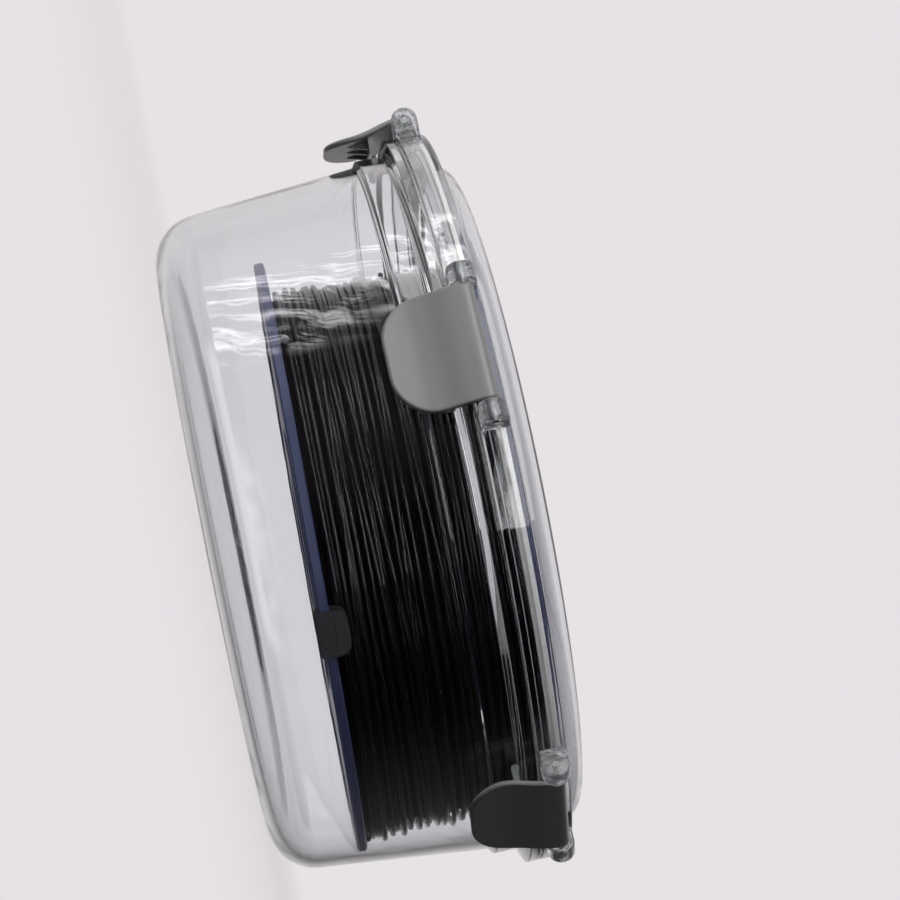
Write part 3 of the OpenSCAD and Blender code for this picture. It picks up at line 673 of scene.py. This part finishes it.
LIP_T, ROOT_Z, RING_TOP_Z = 0.8, ROOF_Z - 1.6, ROOF_Z - 0.02
RING_IN, RING_OUT = DOME_R + 0.3, FLANGE_R - 3.3
lip_in, lip_out = BAND_R - 2.1, BAND_R - 1.1
seal_outline = rounded([
    (RING_IN, ROOT_Z, 0.3),
    (lip_in, ROOT_Z, 0.1), (lip_in, RIM_Z, 0.3), (lip_in + LIP_T, RIM_Z, 0.3),
    (lip_in + LIP_T, ROOT_Z, 0.1),
    (lip_out, ROOT_Z, 0.1), (lip_out, RIM_Z, 0.3), (lip_out + LIP_T, RIM_Z, 0.3),
    (lip_out + LIP_T, ROOT_Z, 0.1),
    (RING_OUT, ROOT_Z, 0.3), (RING_OUT, RING_TOP_Z, 0.3), (RING_IN, RING_TOP_Z, 0.3)], hold=0.1)
ring = put("silicone_ring", revolve(seal_outline, 240), silicone, "lid", ["gasket"])
print("ring:", len(ring.data.polygons), "faces")

# %% [markdown]
# ## Moulded grey plastic
# The latches and the vent button are ABS from a spark-eroded mould, which leaves a fine, even
# grain: to the eye it is satin, with one broad soft highlight. The real grain is about 0.1 mm and
# would not show, so it is drawn as coarse as 0.8 mm, and very shallow. A slow cloud, one every 22
# mm, moves the colour and the roughness a little, as handling does. The roughness stays at 0.28 or
# more, because patches below that came out as islands with a line round them. The same recipe
# gives the spool, the clip and the canister their finishes, with other numbers.

# %% Satin moulded plastic
CLOUDS_PER_M = 45.0  # one cloud every 22 mm
CLOUD_SPAN = (0.15, 0.85)


def satin_plastic(name, dark, light, rough, grain_mm, relief):
    """Colour and roughness follow a slow cloud, and the skin's tilt a fine grain: roughness runs
    from rough - 0.02 to rough + 0.07."""
    made, tree = new_material(name)
    place = add(tree, "ShaderNodeTexCoord").outputs["Object"]
    grain = add(tree, "ShaderNodeTexNoise", {
        "Vector": place, "Scale": 1000 / grain_mm, "Detail": 2.0})
    cloud = add(tree, "ShaderNodeTexNoise", {
        "Vector": place, "Scale": CLOUDS_PER_M, "Detail": 3.0})
    low, high = CLOUD_SPAN
    colour = add(tree, "ShaderNodeValToRGB", {"Fac": cloud}, [(low, dark), (high, light)])
    level = add(tree, "ShaderNodeMapRange", {
        "Value": cloud, "From Min": low, "From Max": high,
        "To Min": rough - 0.02, "To Max": rough + 0.07})
    skin = add(tree, "ShaderNodeBump", {"Height": grain, "Strength": relief, "Distance": 0.0002})
    body = add(tree, "ShaderNodeBsdfPrincipled", {
        "Base Color": colour, "Roughness": level, "IOR": 1.53, "Normal": skin})
    add(tree, "ShaderNodeOutputMaterial", {"Surface": body})
    return made


grey_abs = satin_plastic("satin_grey_abs", "#787978", "#7E7F7E", 0.3, 0.8, 0.1)
print("grey:", grey_abs.name)

# %% [markdown]
# ## The latches
# A latch is a curved plate with round free corners, rolled over a barrel that turns on the pin.
# Its back carries a hook with a round nose and three small gussets. The plate is a sheet: a front
# and a back grid, whose rows run from the free end up the plate and over the barrel, and a
# half-round rim that joins them. Rows close to the free end narrow as the corner's circle does. A
# box with a subdivision modifier would be quicker, but its corners would not be true circles.

# %% Latch plate
# length, thickness, radius of the free corners, half the rim's thickness
LATCH_L, LATCH_T, CORNER, EDGE = 27.0, 2.0, 13.5, 1.0
# the face's distance from the pin, how far it leans in, over which part, and the tab's flare
FACE_OUT, LEAN_IN, LEAN_PART, FLARE = 2.9, 3.5, 0.68, 0.2
# where the plate rolls over the barrel: its outside, what blends it to the face, its inside
ROLL_R, ROLL_EXTRA, ROLL_INNER, ROLL_DEGREES = 2.62, 0.28, 0.9, 150
CORNER_ROWS, PLATE_ROWS, ROLL_ROWS, COLUMNS, RIM_STEPS = 14, 25, 15, 31, 8


def plate_r(t):
    """Radius of the plate's face at part t of its length: it leans in by a half cosine wave up to
    part 0.68, and from there the tab flares out with the square of the distance."""
    lean = LEAN_IN * (1 - np.cos(np.pi * np.minimum(t / LEAN_PART, 1))) / 2
    flare = FLARE * (np.maximum(t - LEAN_PART, 0) / (1 - LEAN_PART)) ** 2
    return PIVOT_R + FACE_OUT - lean + flare


def latch_plate():
    """Front = middle + half thickness, back = middle - half thickness, rim = middle + half
    thickness cos k + out sin k."""
    c, half, reach = CORNER - EDGE, LATCH_HALF - EDGE, LATCH_L - EDGE
    # height of each row above the free end, and half its width
    bend = np.linspace(0, np.pi / 2, CORNER_ROWS)
    up = np.concatenate([c * (1 - np.cos(bend)), np.linspace(c, reach, PLATE_ROWS + 1)[1:]])
    wide = half - c + np.sqrt(np.maximum(c * c - np.maximum(c - up, 0) ** 2, 0))
    t = (reach - up) / LATCH_L
    # the same rows from the side, as (radius, height), up the plate and over the barrel
    roll = np.radians(np.linspace(0, ROLL_DEGREES, ROLL_ROWS + 1)[1:])
    roll_r = ROLL_R + ROLL_EXTRA * np.cos(roll / 2) ** 4
    rows_z = PIVOT_Z - LATCH_L * t
    outer = np.concatenate([
        np.stack([plate_r(t), rows_z], 1),
        np.stack([PIVOT_R + roll_r * np.cos(roll), PIVOT_Z + roll_r * np.sin(roll)], 1)])
    inner = np.concatenate([
        np.stack([plate_r(t) - LATCH_T, rows_z], 1),
        np.stack([PIVOT_R + ROLL_INNER * np.cos(roll), PIVOT_Z + ROLL_INNER * np.sin(roll)], 1)])
    wide = np.concatenate([wide, np.full(len(roll), half)])
    up = np.concatenate([up, np.full(len(roll), reach)])
    across = np.sin(np.linspace(-np.pi / 2, np.pi / 2, COLUMNS))
    y = wide[:, None] * across[None]
    centre, depth = (outer + inner) / 2, (outer - inner) / 2
    front, back = (np.stack([line[:, 0:1] + 0 * y, y, line[:, 1:2] + 0 * y], -1)
                   for line in (outer, inner))
    # the rim's loop runs down one side, along the free end and up the other side
    rows, columns = y.shape
    ids = np.arange(rows * columns).reshape(rows, columns)
    loop = np.concatenate([ids[::-1, -1], ids[0, -2:0:-1], ids[:, 0]])
    r, s = loop // columns, loop % columns
    corner_y = np.sign(across[s]) * (half - c)
    out_y = np.where(up[r] < c, (y[r, s] - corner_y) / c, np.sign(across[s]))
    out_z = np.where(up[r] < c, (up[r] - c) / c, 0)
    tip = (r == 0) & (s > 0) & (s < columns - 1)
    out_y, out_z = np.where(tip, 0, out_y), np.where(tip, -1, out_z)
    k = np.linspace(0, np.pi, RIM_STEPS + 2)[1:-1]
    base = np.stack([centre[r, 0], y[r, s], centre[r, 1]], 1)
    thick = np.stack([depth[r, 0], 0 * out_y, depth[r, 1]], 1)
    out = np.stack([0 * out_y, out_y, out_z], 1) * EDGE
    rim = (base[:, None] + thick[:, None] * np.cos(k)[None, :, None]
           + out[:, None] * np.sin(k)[None, :, None])
    n = rows * columns
    rim_ids = 2 * n + np.arange(rim.shape[0] * rim.shape[1]).reshape(rim.shape[:2])
    band = np.concatenate([loop[:, None], rim_ids, loop[:, None] + n], 1)
    cap = np.concatenate([ids[-1], rim_ids[0], ids[-1, ::-1] + n, rim_ids[-1, ::-1]])
    return (np.vstack([front.reshape(-1, 3), back.reshape(-1, 3), rim.reshape(-1, 3)]),
            [grid_faces(ids), grid_faces(ids)[:, ::-1] + n, grid_faces(band)[:, ::-1], cap[None]])


print("plate:", len(latch_plate()[0]), "points")

# %% [markdown]
# The barrel is a disc carried across the latch. The hook is an outline of a shelf with a round
# nose, carried a few degrees round the box so that it follows the flange, and each gusset is a
# thin triangle between the hook and the plate.

# %% Barrel, hook and gussets
NOSE_R, NOSE_Z, NOSE = BAND_R + 2.1, 77.53, 1.3  # middle and radius of the hook's nose
BARREL_R, SHELF_R, HOOK_HALF_ANGLE = 2.6, 124.1, 8
GUSSET_Y, GUSSET_HALF = 9.35, 0.8  # distance from the middle, half the thickness


def swept(outline, half_angle, steps=9):
    """An outline of (radius, height) carried round the box's axis from -half_angle to half_angle,
    with flat ends: x = r cos a, y = r sin a."""
    a = np.radians(np.linspace(-half_angle, half_angle, steps))
    points = np.stack([np.outer(np.cos(a), outline[:, 0]), np.outer(np.sin(a), outline[:, 0]),
                       np.tile(outline[:, 1], (steps, 1))], -1)
    ids = np.arange(points[..., 0].size).reshape(steps, len(outline))
    sides = grid_faces(ids, False, True)[:, ::-1]
    return points.reshape(-1, 3), [sides, ids[0][None], ids[-1][None, ::-1]]


a = np.linspace(0, 2 * np.pi, 32, endpoint=False)
disc = np.stack([PIVOT_R + BARREL_R * np.cos(a), PIVOT_Z + BARREL_R * np.sin(a)], 1)
barrel = pillow(disc, -LATCH_HALF, LATCH_HALF, 0.5)
a = np.radians(np.linspace(22.6, 270, 20))
nose = np.stack([NOSE_R + NOSE * np.cos(a), NOSE_Z + NOSE * np.sin(a)], 1)
shelf = [[SHELF_R, NOSE_Z - NOSE], [SHELF_R, NOSE_Z + 0.5]]
hook = swept(np.vstack([shelf, nose]), HOOK_HALF_ANGLE)
rib_top, rib_foot = NOSE_Z - 1.1, NOSE_Z - 7.8
rib = np.array([[NOSE_R + 1.2, rib_top], [121.6, rib_foot], [123.4, rib_foot], [SHELF_R, rib_top]])
gussets = [pillow(rib, y - GUSSET_HALF, y + GUSSET_HALF, 0.25) for y in (-GUSSET_Y, 0, GUSSET_Y)]
for k, turn in enumerate(LATCH_TURN, 1):
    whole = turned(together(latch_plate(), barrel, hook, *gussets), turn)
    latch = put(f"grey_latch_{k}", whole, grey_abs, f"latch_{k}", [f"latch_{k}"],
                sharp=50)
print("latch:", len(latch.data.polygons), "faces")

# %% [markdown]
# ## The spool's own frame
# The spool leans a little in the box and touches its wall on one side. Its pieces are easier to
# work out upright, along its own axis, and one function leans, lifts and turns their points into
# place. The objects themselves stay unturned, so that their patterns don't slide.

# %% Place on the spool
# lean, direction round the box, distance off its axis, height of the lower face
LEAN, SPOOL_DIR, SPOOL_OFF, SPOOL_Z = np.radians(1.2), np.radians(21.5), 8.58, 29.25
SPOOL_W, FLANGE_T, SPOOL_R, WOUND_R = 65.5, 3.2, 98.5, 91.2


def on_spool(surface):
    """Leans about Y, moves out and up, then turns round the box, as the CAD part does: u = x cos l
    + z sin l + off, w = z cos l - x sin l + height, then (u, y) is turned by the spool's
    direction."""
    x, y, z = surface[0].T
    u = x * np.cos(LEAN) + z * np.sin(LEAN) + SPOOL_OFF
    w = -x * np.sin(LEAN) + z * np.cos(LEAN) + SPOOL_Z
    placed = [u * np.cos(SPOOL_DIR) - y * np.sin(SPOOL_DIR),
              u * np.sin(SPOOL_DIR) + y * np.cos(SPOOL_DIR), w]
    return np.stack(placed, 1), surface[1]


print("spool's lower face at", SPOOL_Z, "mm")

# %% [markdown]
# ## The filament's finish
# Black PLA is extruded, so it is glossy along its length and every turn carries one thin
# highlight, broken where the strand was scuffed. The scuffs follow the strand, from a length
# stored on each point, which a pattern in space could not do. The gaps deep between the turns get
# a second finish of painted shade: nearly black, with hardly any gloss and faint specks.

# %% Black filament
SCUFFS_PER_M = 120.0  # one scuff every 8 mm of strand
SHADE_SPECKS_PER_M = 700.0  # specks 1.4 mm apart

black_pla, tree = new_material("extruded_black_pla")
length = add(tree, "ShaderNodeAttribute", attribute_name="strand_length").outputs["Fac"]
scuff = add(tree, "ShaderNodeTexNoise", {"W": length, "Scale": SCUFFS_PER_M, "Detail": 3.0},
            noise_dimensions="1D")
black = add(tree, "ShaderNodeValToRGB", {"Fac": scuff}, [(0.35, "#070708"), (0.75, "#0D0D10")])
gloss = add(tree, "ShaderNodeMapRange", {
    "Value": scuff, "From Min": 0.3, "From Max": 0.7, "To Min": 0.08, "To Max": 0.2})
body = add(tree, "ShaderNodeBsdfPrincipled", {
    "Base Color": black, "Roughness": gloss, "IOR": 1.46})
add(tree, "ShaderNodeOutputMaterial", {"Surface": body})

# painted shade for the gaps between the turns: near black, rough and with a weak specular level,
# so no highlights show there
painted_shade_pla, tree = new_material("painted_shade_black_pla_between_turns")
place = add(tree, "ShaderNodeTexCoord").outputs["Object"]
shade_specks = add(tree, "ShaderNodeTexNoise", {"Vector": place, "Scale": SHADE_SPECKS_PER_M, "Detail": 2.0})
shaded_black = add(tree, "ShaderNodeValToRGB", {"Fac": shade_specks}, [(0.4, "#040405"), (0.8, "#0A0A0C")])
body = add(tree, "ShaderNodeBsdfPrincipled", {
    "Base Color": shaded_black, "Roughness": 0.7, "IOR": 1.46, "Specular IOR Level": 0.15})
add(tree, "ShaderNodeOutputMaterial", {"Surface": body})
print("filament finishes:", black_pla.name, painted_shade_pla.name)

# %% [markdown]
# ## The winding
# The winding is loose: its turns lie 2 to 3 mm apart, sink between each other, cross at a slant
# and hang down on the low side, which makes its edge ragged. A full spool holds hundreds of metres
# of strand, so a turned, ridged heart fills the winding, and only five runs of real strand lie
# over it: two full layers and three single strands that cross them.

# %% Strands
STRAND_R, STRAND_SIDES = 0.875, 10
BORE_R, HANG_FROM, HANG_OVER = 40.1, 41, 20
LOW, HIGH, SAG = FLANGE_T + 1.1, SPOOL_W - FLANGE_T - 1.1, 3.0
LOOP_BAND = 9  # loops spring out only this close to the lower flange


def strand(heights, low_end, high_end, seed, loops=0.0, points_per_turn=120):
    """A helix through one height per half turn, so that every other one lies at the winding's low
    side, where it sags, and the rest opposite. Each gets a seeded random radius, from low_end or
    high_end, and they are joined by half cosine waves: value = a + (b - a) (1 - cos(pi f)) / 2,
    where f is the part of the half turn gone."""
    pick = np.random.default_rng(seed)
    stops = len(heights)
    at_low = np.arange(stops) % 2 == 0
    radius = np.where(at_low, pick.uniform(*low_end, stops), pick.uniform(*high_end, stops))
    radius += loops * (np.abs(heights - LOW) < LOOP_BAND) * pick.uniform(0, 1, stops)
    s = np.linspace(0, stops - 1.001, int((stops - 1) / 2 * points_per_turn))
    i, f = s.astype(int), s % 1
    ease = (1 - np.cos(np.pi * f)) / 2
    r = radius[i] + (radius[i + 1] - radius[i]) * ease
    z = heights[i] + (heights[i + 1] - heights[i]) * ease
    return np.stack([r * np.cos(np.pi * s), r * np.sin(np.pi * s), z], 1)


def lay(first, last, turns, seed, wander):
    """Heights for a layer: an even spread plus a seeded random step, kept between the flanges."""
    pick = np.random.default_rng(seed)
    even = np.linspace(first, last, 2 * turns + 1)
    return np.clip(even + pick.uniform(-wander, wander, len(even)), LOW, HIGH)


def sagged(points):
    """Loose turns hang: x grows by the sag times (r - 41) / 20, which is kept between 0 at the
    bore and 1 outside."""
    reach = np.hypot(points[:, 0], points[:, 1])
    return points + np.outer(SAG * np.clip((reach - HANG_FROM) / HANG_OVER, 0, 1), [1, 0, 0])


print("a strand is", 2 * STRAND_R, "mm thick")

# %% [markdown]
# The heart is turned like the tub. Its outline has one rounded ridge for each turn of filament
# under the loose ones, and no two ridges are quite as high, so its shadows look like strands too.

# %% The ridged heart of the winding
RIDGES, RIDGE_DROP, RIDGE_WANDER = 33, 2.9, 0.5
SCATTER = 47.0  # a step so long that the sine of each ridge falls anywhere

ridge = np.arange(RIDGES)
pitch = (HIGH - LOW) / (RIDGES - 1)
hump = np.radians(np.linspace(15, 165, 6))
ridge_r = WOUND_R - RIDGE_DROP - RIDGE_WANDER * np.sin(ridge * SCATTER)
edge_r = (ridge_r[:, None] - STRAND_R * (1 - np.sin(hump))[None]).ravel()
edge_z = (LOW + pitch * ridge[:, None] - pitch / 2 * np.cos(hump)[None]).ravel()
core = np.vstack([[[BORE_R, edge_z[0]]], np.stack([edge_r, edge_z], 1), [[BORE_R, edge_z[-1]]]])
core_points, core_faces = revolve(core, 240)
# the heart wears the painted shade finish, so the gaps between the loose turns stay dark
heart = put("wound_filament_heart", on_spool((sagged(core_points), core_faces)), painted_shade_pla, "spool",
            ["filament_winding"])
print("heart:", len(heart.data.polygons), "faces, ridges", round(pitch, 2), "mm apart")

# %% [markdown]
# Each run is a wire along its own helix. Its length so far is stored on every point, for the
# scuffs in its finish to follow: a path has 120 points a turn, and a turn is about 0.57 m.

# %% Real strand over the heart
METRES_PER_POINT = 0.0048

R = WOUND_R
paths = [
    # two layers: heights, radii at the low side, radii opposite, seed and loose loops
    strand(lay(LOW, HIGH, 20, 3, 0.7), (R - 2.4, R + 1.4), (R - 2.2, R - 1.0), 31, loops=1.8),
    strand(lay(HIGH, LOW, 21, 8, 1.4), (R - 2.6, R + 0.6), (R - 2.6, R - 1.5), 32, loops=1.2),
    # three single strands that cross them
    strand(np.linspace(LOW + 1, HIGH - 9, 6), (R - 1.0, R), (R - 1.0, R - 0.4), 33),
    strand(np.linspace(HIGH - 4, LOW + 3, 7), (R - 1.0, R), (R - 1.0, R - 0.4), 34),
    strand(np.linspace(LOW + 2, HIGH - 20, 4), (R - 0.6, R + 0.4), (R - 0.6, R), 35)]
hung = [sagged(path) for path in paths]
wires = [on_spool(tube(path, path * [1, 1, 0], STRAND_R, STRAND_SIDES)) for path in hung]
filament = put("wound_filament", together(*wires), black_pla, "spool")
lengths = np.concatenate([
    np.repeat(np.linspace(0, METRES_PER_POINT * len(path), len(path)), STRAND_SIDES)
    for path in paths])
stored = filament.data.attributes.new("strand_length", "FLOAT", "POINT")
stored.data.foreach_set("value", lengths)
print("filament:", len(filament.data.polygons), "faces")

# %% [markdown]
# ## The filament clip
# The free end of the filament is held by a small clip that is pushed over the spool's rim. It is
# black nylon, dull and slightly rough to the eye. A bridge over the rim joins a flat leg outside
# and a thick pad inside, whose top is a D from the side. Each part is an outline carried outwards
# with soft ends, and the pad's top is 1.3 + 3.8 (1 - (y / 7)^4)^(1/2). The parts stand a few
# hundredths of a millimetre off the flange, and their ends are staggered, so that no two faces lie
# in one plane.

# %% Filament clip
CLIP_HALF, CLIP_IN, CLIP_OUT, CLIP_TURN = 7.0, SPOOL_R - 6.0, SPOOL_R + 1.4, -78
PAD_SIDE, PAD_RISE, LEG_LOW = 1.3, 3.8, -1.34
BRIDGE_LOW, BRIDGE_HIGH = -1.38, 5.0


def outwards(outline, start, stop, edge):
    """A pillow carried along X instead of Y: x and y change places, so the faces are turned
    round."""
    points, faces = pillow(outline, start, stop, edge)
    return points[:, [1, 0, 2]], [face[:, ::-1] for face in faces]


black_nylon = satin_plastic("matt_black_nylon", "#131315", "#19191B", 0.66, 0.8, 0.12)
y = CLIP_HALF * np.cos(np.linspace(0, np.pi, 41))
rise = PAD_RISE * np.sqrt(np.maximum(1 - (y / CLIP_HALF) ** 4, 0))
foot = np.array([-CLIP_HALF, 1 - CLIP_HALF, CLIP_HALF - 1, CLIP_HALF])
dee = np.vstack([np.stack([foot, np.full(4, FLANGE_T + 0.06)], 1),
                 np.stack([y, FLANGE_T + PAD_SIDE + rise], 1)])
leg = rounded([(-CLIP_HALF, LEG_LOW, 0.9), (CLIP_HALF, LEG_LOW, 0.9),
               (CLIP_HALF, -0.08, 0.1), (-CLIP_HALF, -0.08, 0.1)])
bridge = rounded([(-CLIP_HALF, BRIDGE_LOW, 1.2), (CLIP_HALF, BRIDGE_LOW, 1.2),
                  (CLIP_HALF, BRIDGE_HIGH, 0.8), (-CLIP_HALF, BRIDGE_HIGH, 0.8)])
clip = together(outwards(dee, CLIP_IN, CLIP_OUT, 0.8),
                outwards(leg, CLIP_IN, CLIP_OUT - 0.6, 0.4),
                outwards(bridge, SPOOL_R + 0.08, CLIP_OUT - 0.05, 0.4))
clip = put("filament_clip_nylon", on_spool(turned(clip, CLIP_TURN)), black_nylon, "spool",
           ["filament_clip"])
print("clip:", len(clip.data.polygons), "faces")

# %% [markdown]
# ## Spool, pins, canister and valve
# These CAD solids already have the right shapes, so they stay and only get their finishes. The
# spool is navy ABS with a smooth skin, the pins are ground steel, which shines with a fine, uneven
# gleam, and the canister is white polypropylene, soft and waxy. The valve's button has the
# latches' grey, and its seal the ring's silicone.

# %% Finishes for the CAD pieces
navy_abs = satin_plastic("glossy_navy_abs", "#2E3453", "#343A5A", 0.3, 1.6, 0.05)
white_pp = satin_plastic("waxy_white_polypropylene", "#DAD9D4", "#E2E1DC", 0.5, 1.2, 0.08)


def metal(name, dark, light, rough, grain_mm):
    """Worked steel: a fine noise moves its colour and its roughness, which runs from rough - 0.06
    to rough + 0.06."""
    made, tree = new_material(name)
    place = add(tree, "ShaderNodeTexCoord").outputs["Object"]
    lines = add(tree, "ShaderNodeTexNoise", {
        "Vector": place, "Scale": 1000 / grain_mm, "Detail": 3.0})
    colour = add(tree, "ShaderNodeValToRGB", {"Fac": lines}, [(0.3, dark), (0.7, light)])
    level = add(tree, "ShaderNodeMapRange", {
        "Value": lines, "To Min": rough - 0.06, "To Max": rough + 0.06})
    body = add(tree, "ShaderNodeBsdfPrincipled", {
        "Base Color": colour, "Metallic": 1.0, "Roughness": level})
    add(tree, "ShaderNodeOutputMaterial", {"Surface": body})
    return made


pin_steel = metal("ground_steel_pin", "#A9ABAE", "#C2C4C6", 0.34, 0.8)

FINISHES = {
    navy_abs: ["spool_flange_lower", "spool_flange_upper", "spool_hub"],
    pin_steel: [f"latch_pin_{k}" for k in range(1, 6)],
    grey_abs: ["valve_button"], silicone: ["valve_seal"],
    white_pp: ["desiccant_canister", "desiccant_cap"]}
for finish, names in FINISHES.items():
    for name in names:
        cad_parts[name].data.materials.clear()
        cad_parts[name].data.materials.append(finish)
print("painted:", sum(len(names) for names in FINISHES.values()), "CAD pieces")

# %% [markdown]
# ## The vent's spring
# A small coil of drawn steel wire holds the vent button up: a circle carried along a helix of
# three turns. When the button goes down its 1.5 mm, the real coil is pressed together from above.
# Here the coil is a piece of its own that rides on the lid, with a mesh of its own.

# %% Vent spring
WIRE, COIL_R, COIL_TURNS, STROKE = 0.35, 3.4, 3, 1.5

spring_steel = metal("drawn_spring_wire", "#9B9DA0", "#B5B7B9", 0.35, 0.5)
spring_low, spring_high = (np.array(corner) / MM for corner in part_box("valve_spring"))
around = np.linspace(0, 2 * np.pi * COIL_TURNS, 241)
coil = np.stack([COIL_R * np.cos(around), COIL_R * np.sin(around),
                 np.linspace(spring_low[2] + WIRE, spring_high[2] - WIRE, len(around))], 1)
spring = put("vent_spring", tube(coil, coil * [1, 1, 0], WIRE, 12), spring_steel, "lid",
             ["valve_spring"])
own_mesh(spring)

# %% [markdown]
# ## The drying beads
# Silica gel is sold as hard, glassy beads of 2 to 4 mm, dyed orange until they are full of water.
# To the eye each is a wet-looking ball with light inside, which is subsurface light under a smooth
# skin. The dye is uneven, in cells about as large as a bead.

# %% Finish of the beads
DYE_PER_M = 330.0  # cells of 3 mm

silica, tree = new_material("orange_silica_gel")
place = add(tree, "ShaderNodeTexCoord").outputs["Object"]
dye = add(tree, "ShaderNodeTexVoronoi", {"Vector": place, "Scale": DYE_PER_M})
orange = add(tree, "ShaderNodeValToRGB", {"Fac": dye}, [(0.0, "#D9761E"), (1.0, "#E89A3C")])
body = add(tree, "ShaderNodeBsdfPrincipled", {
    "Base Color": orange, "Roughness": 0.22, "IOR": 1.46, "Subsurface Weight": 0.4,
    "Subsurface Radius": (1.0, 0.5, 0.2), "Subsurface Scale": 0.0015})
add(tree, "ShaderNodeOutputMaterial", {"Surface": body})
print("beads are", silica.name)

# %% [markdown]
# They show through the canister's slots and the holes of its cap. Filling it with loose balls
# would take a simulation, and only the outer layer can be seen, so the beads lie in rings on a
# drum and in circles on its top, each nudged by a seeded random step. One ball is turned once and
# copied to every place as an array, and has only a few dozen faces.

# %% Beads
BEAD_R, DRUM_R, BEADS_LOW, BEADS_HIGH = 1.45, 22.4, 7.2, 53.0
NUDGE, BALL_RINGS, BALL_SIDES = 0.22, 7, 8


def bead_circle(radius, height):
    """As many beads as fit on a circle: x = r cos b, y = r sin b."""
    count = max(int(2 * np.pi * radius / (2 * BEAD_R)), 1)
    b = np.linspace(0, 2 * np.pi, count, endpoint=False)
    return np.stack([radius * np.cos(b), radius * np.sin(b), np.full(count, height)], 1)


levels = np.arange(BEADS_LOW, BEADS_HIGH, 2 * BEAD_R)
round_count = int(2 * np.pi * DRUM_R / (2 * BEAD_R))
a, z = np.meshgrid(np.arange(round_count) * 2 * np.pi / round_count, levels)
a = a + (np.arange(len(levels)) % 2)[:, None] * np.pi / round_count
drum = np.stack([DRUM_R * np.cos(a), DRUM_R * np.sin(a), z], -1).reshape(-1, 3)
top = [bead_circle(r, BEADS_HIGH - 0.6) for r in np.arange(0.1, DRUM_R - 2, 2 * BEAD_R)]
centres = np.vstack([drum, *top])
centres = centres + np.random.default_rng(5).uniform(-NUDGE, NUDGE, centres.shape)

half_turn = np.linspace(0, np.pi, BALL_RINGS)
ball, ball_faces = revolve(
    np.stack([BEAD_R * np.sin(half_turn), -BEAD_R * np.cos(half_turn)], 1), BALL_SIDES)
points = (centres[:, None] + ball[None]).reshape(-1, 3)
shift = np.arange(len(centres))[:, None, None] * len(ball)
bead_faces = [(block[None] + shift).reshape(-1, block.shape[1]) for block in ball_faces]
beads = put("silica_beads", on_spool((points, bead_faces)), silica, "spool", ["desiccant_beads"])
print("beads:", len(centres))
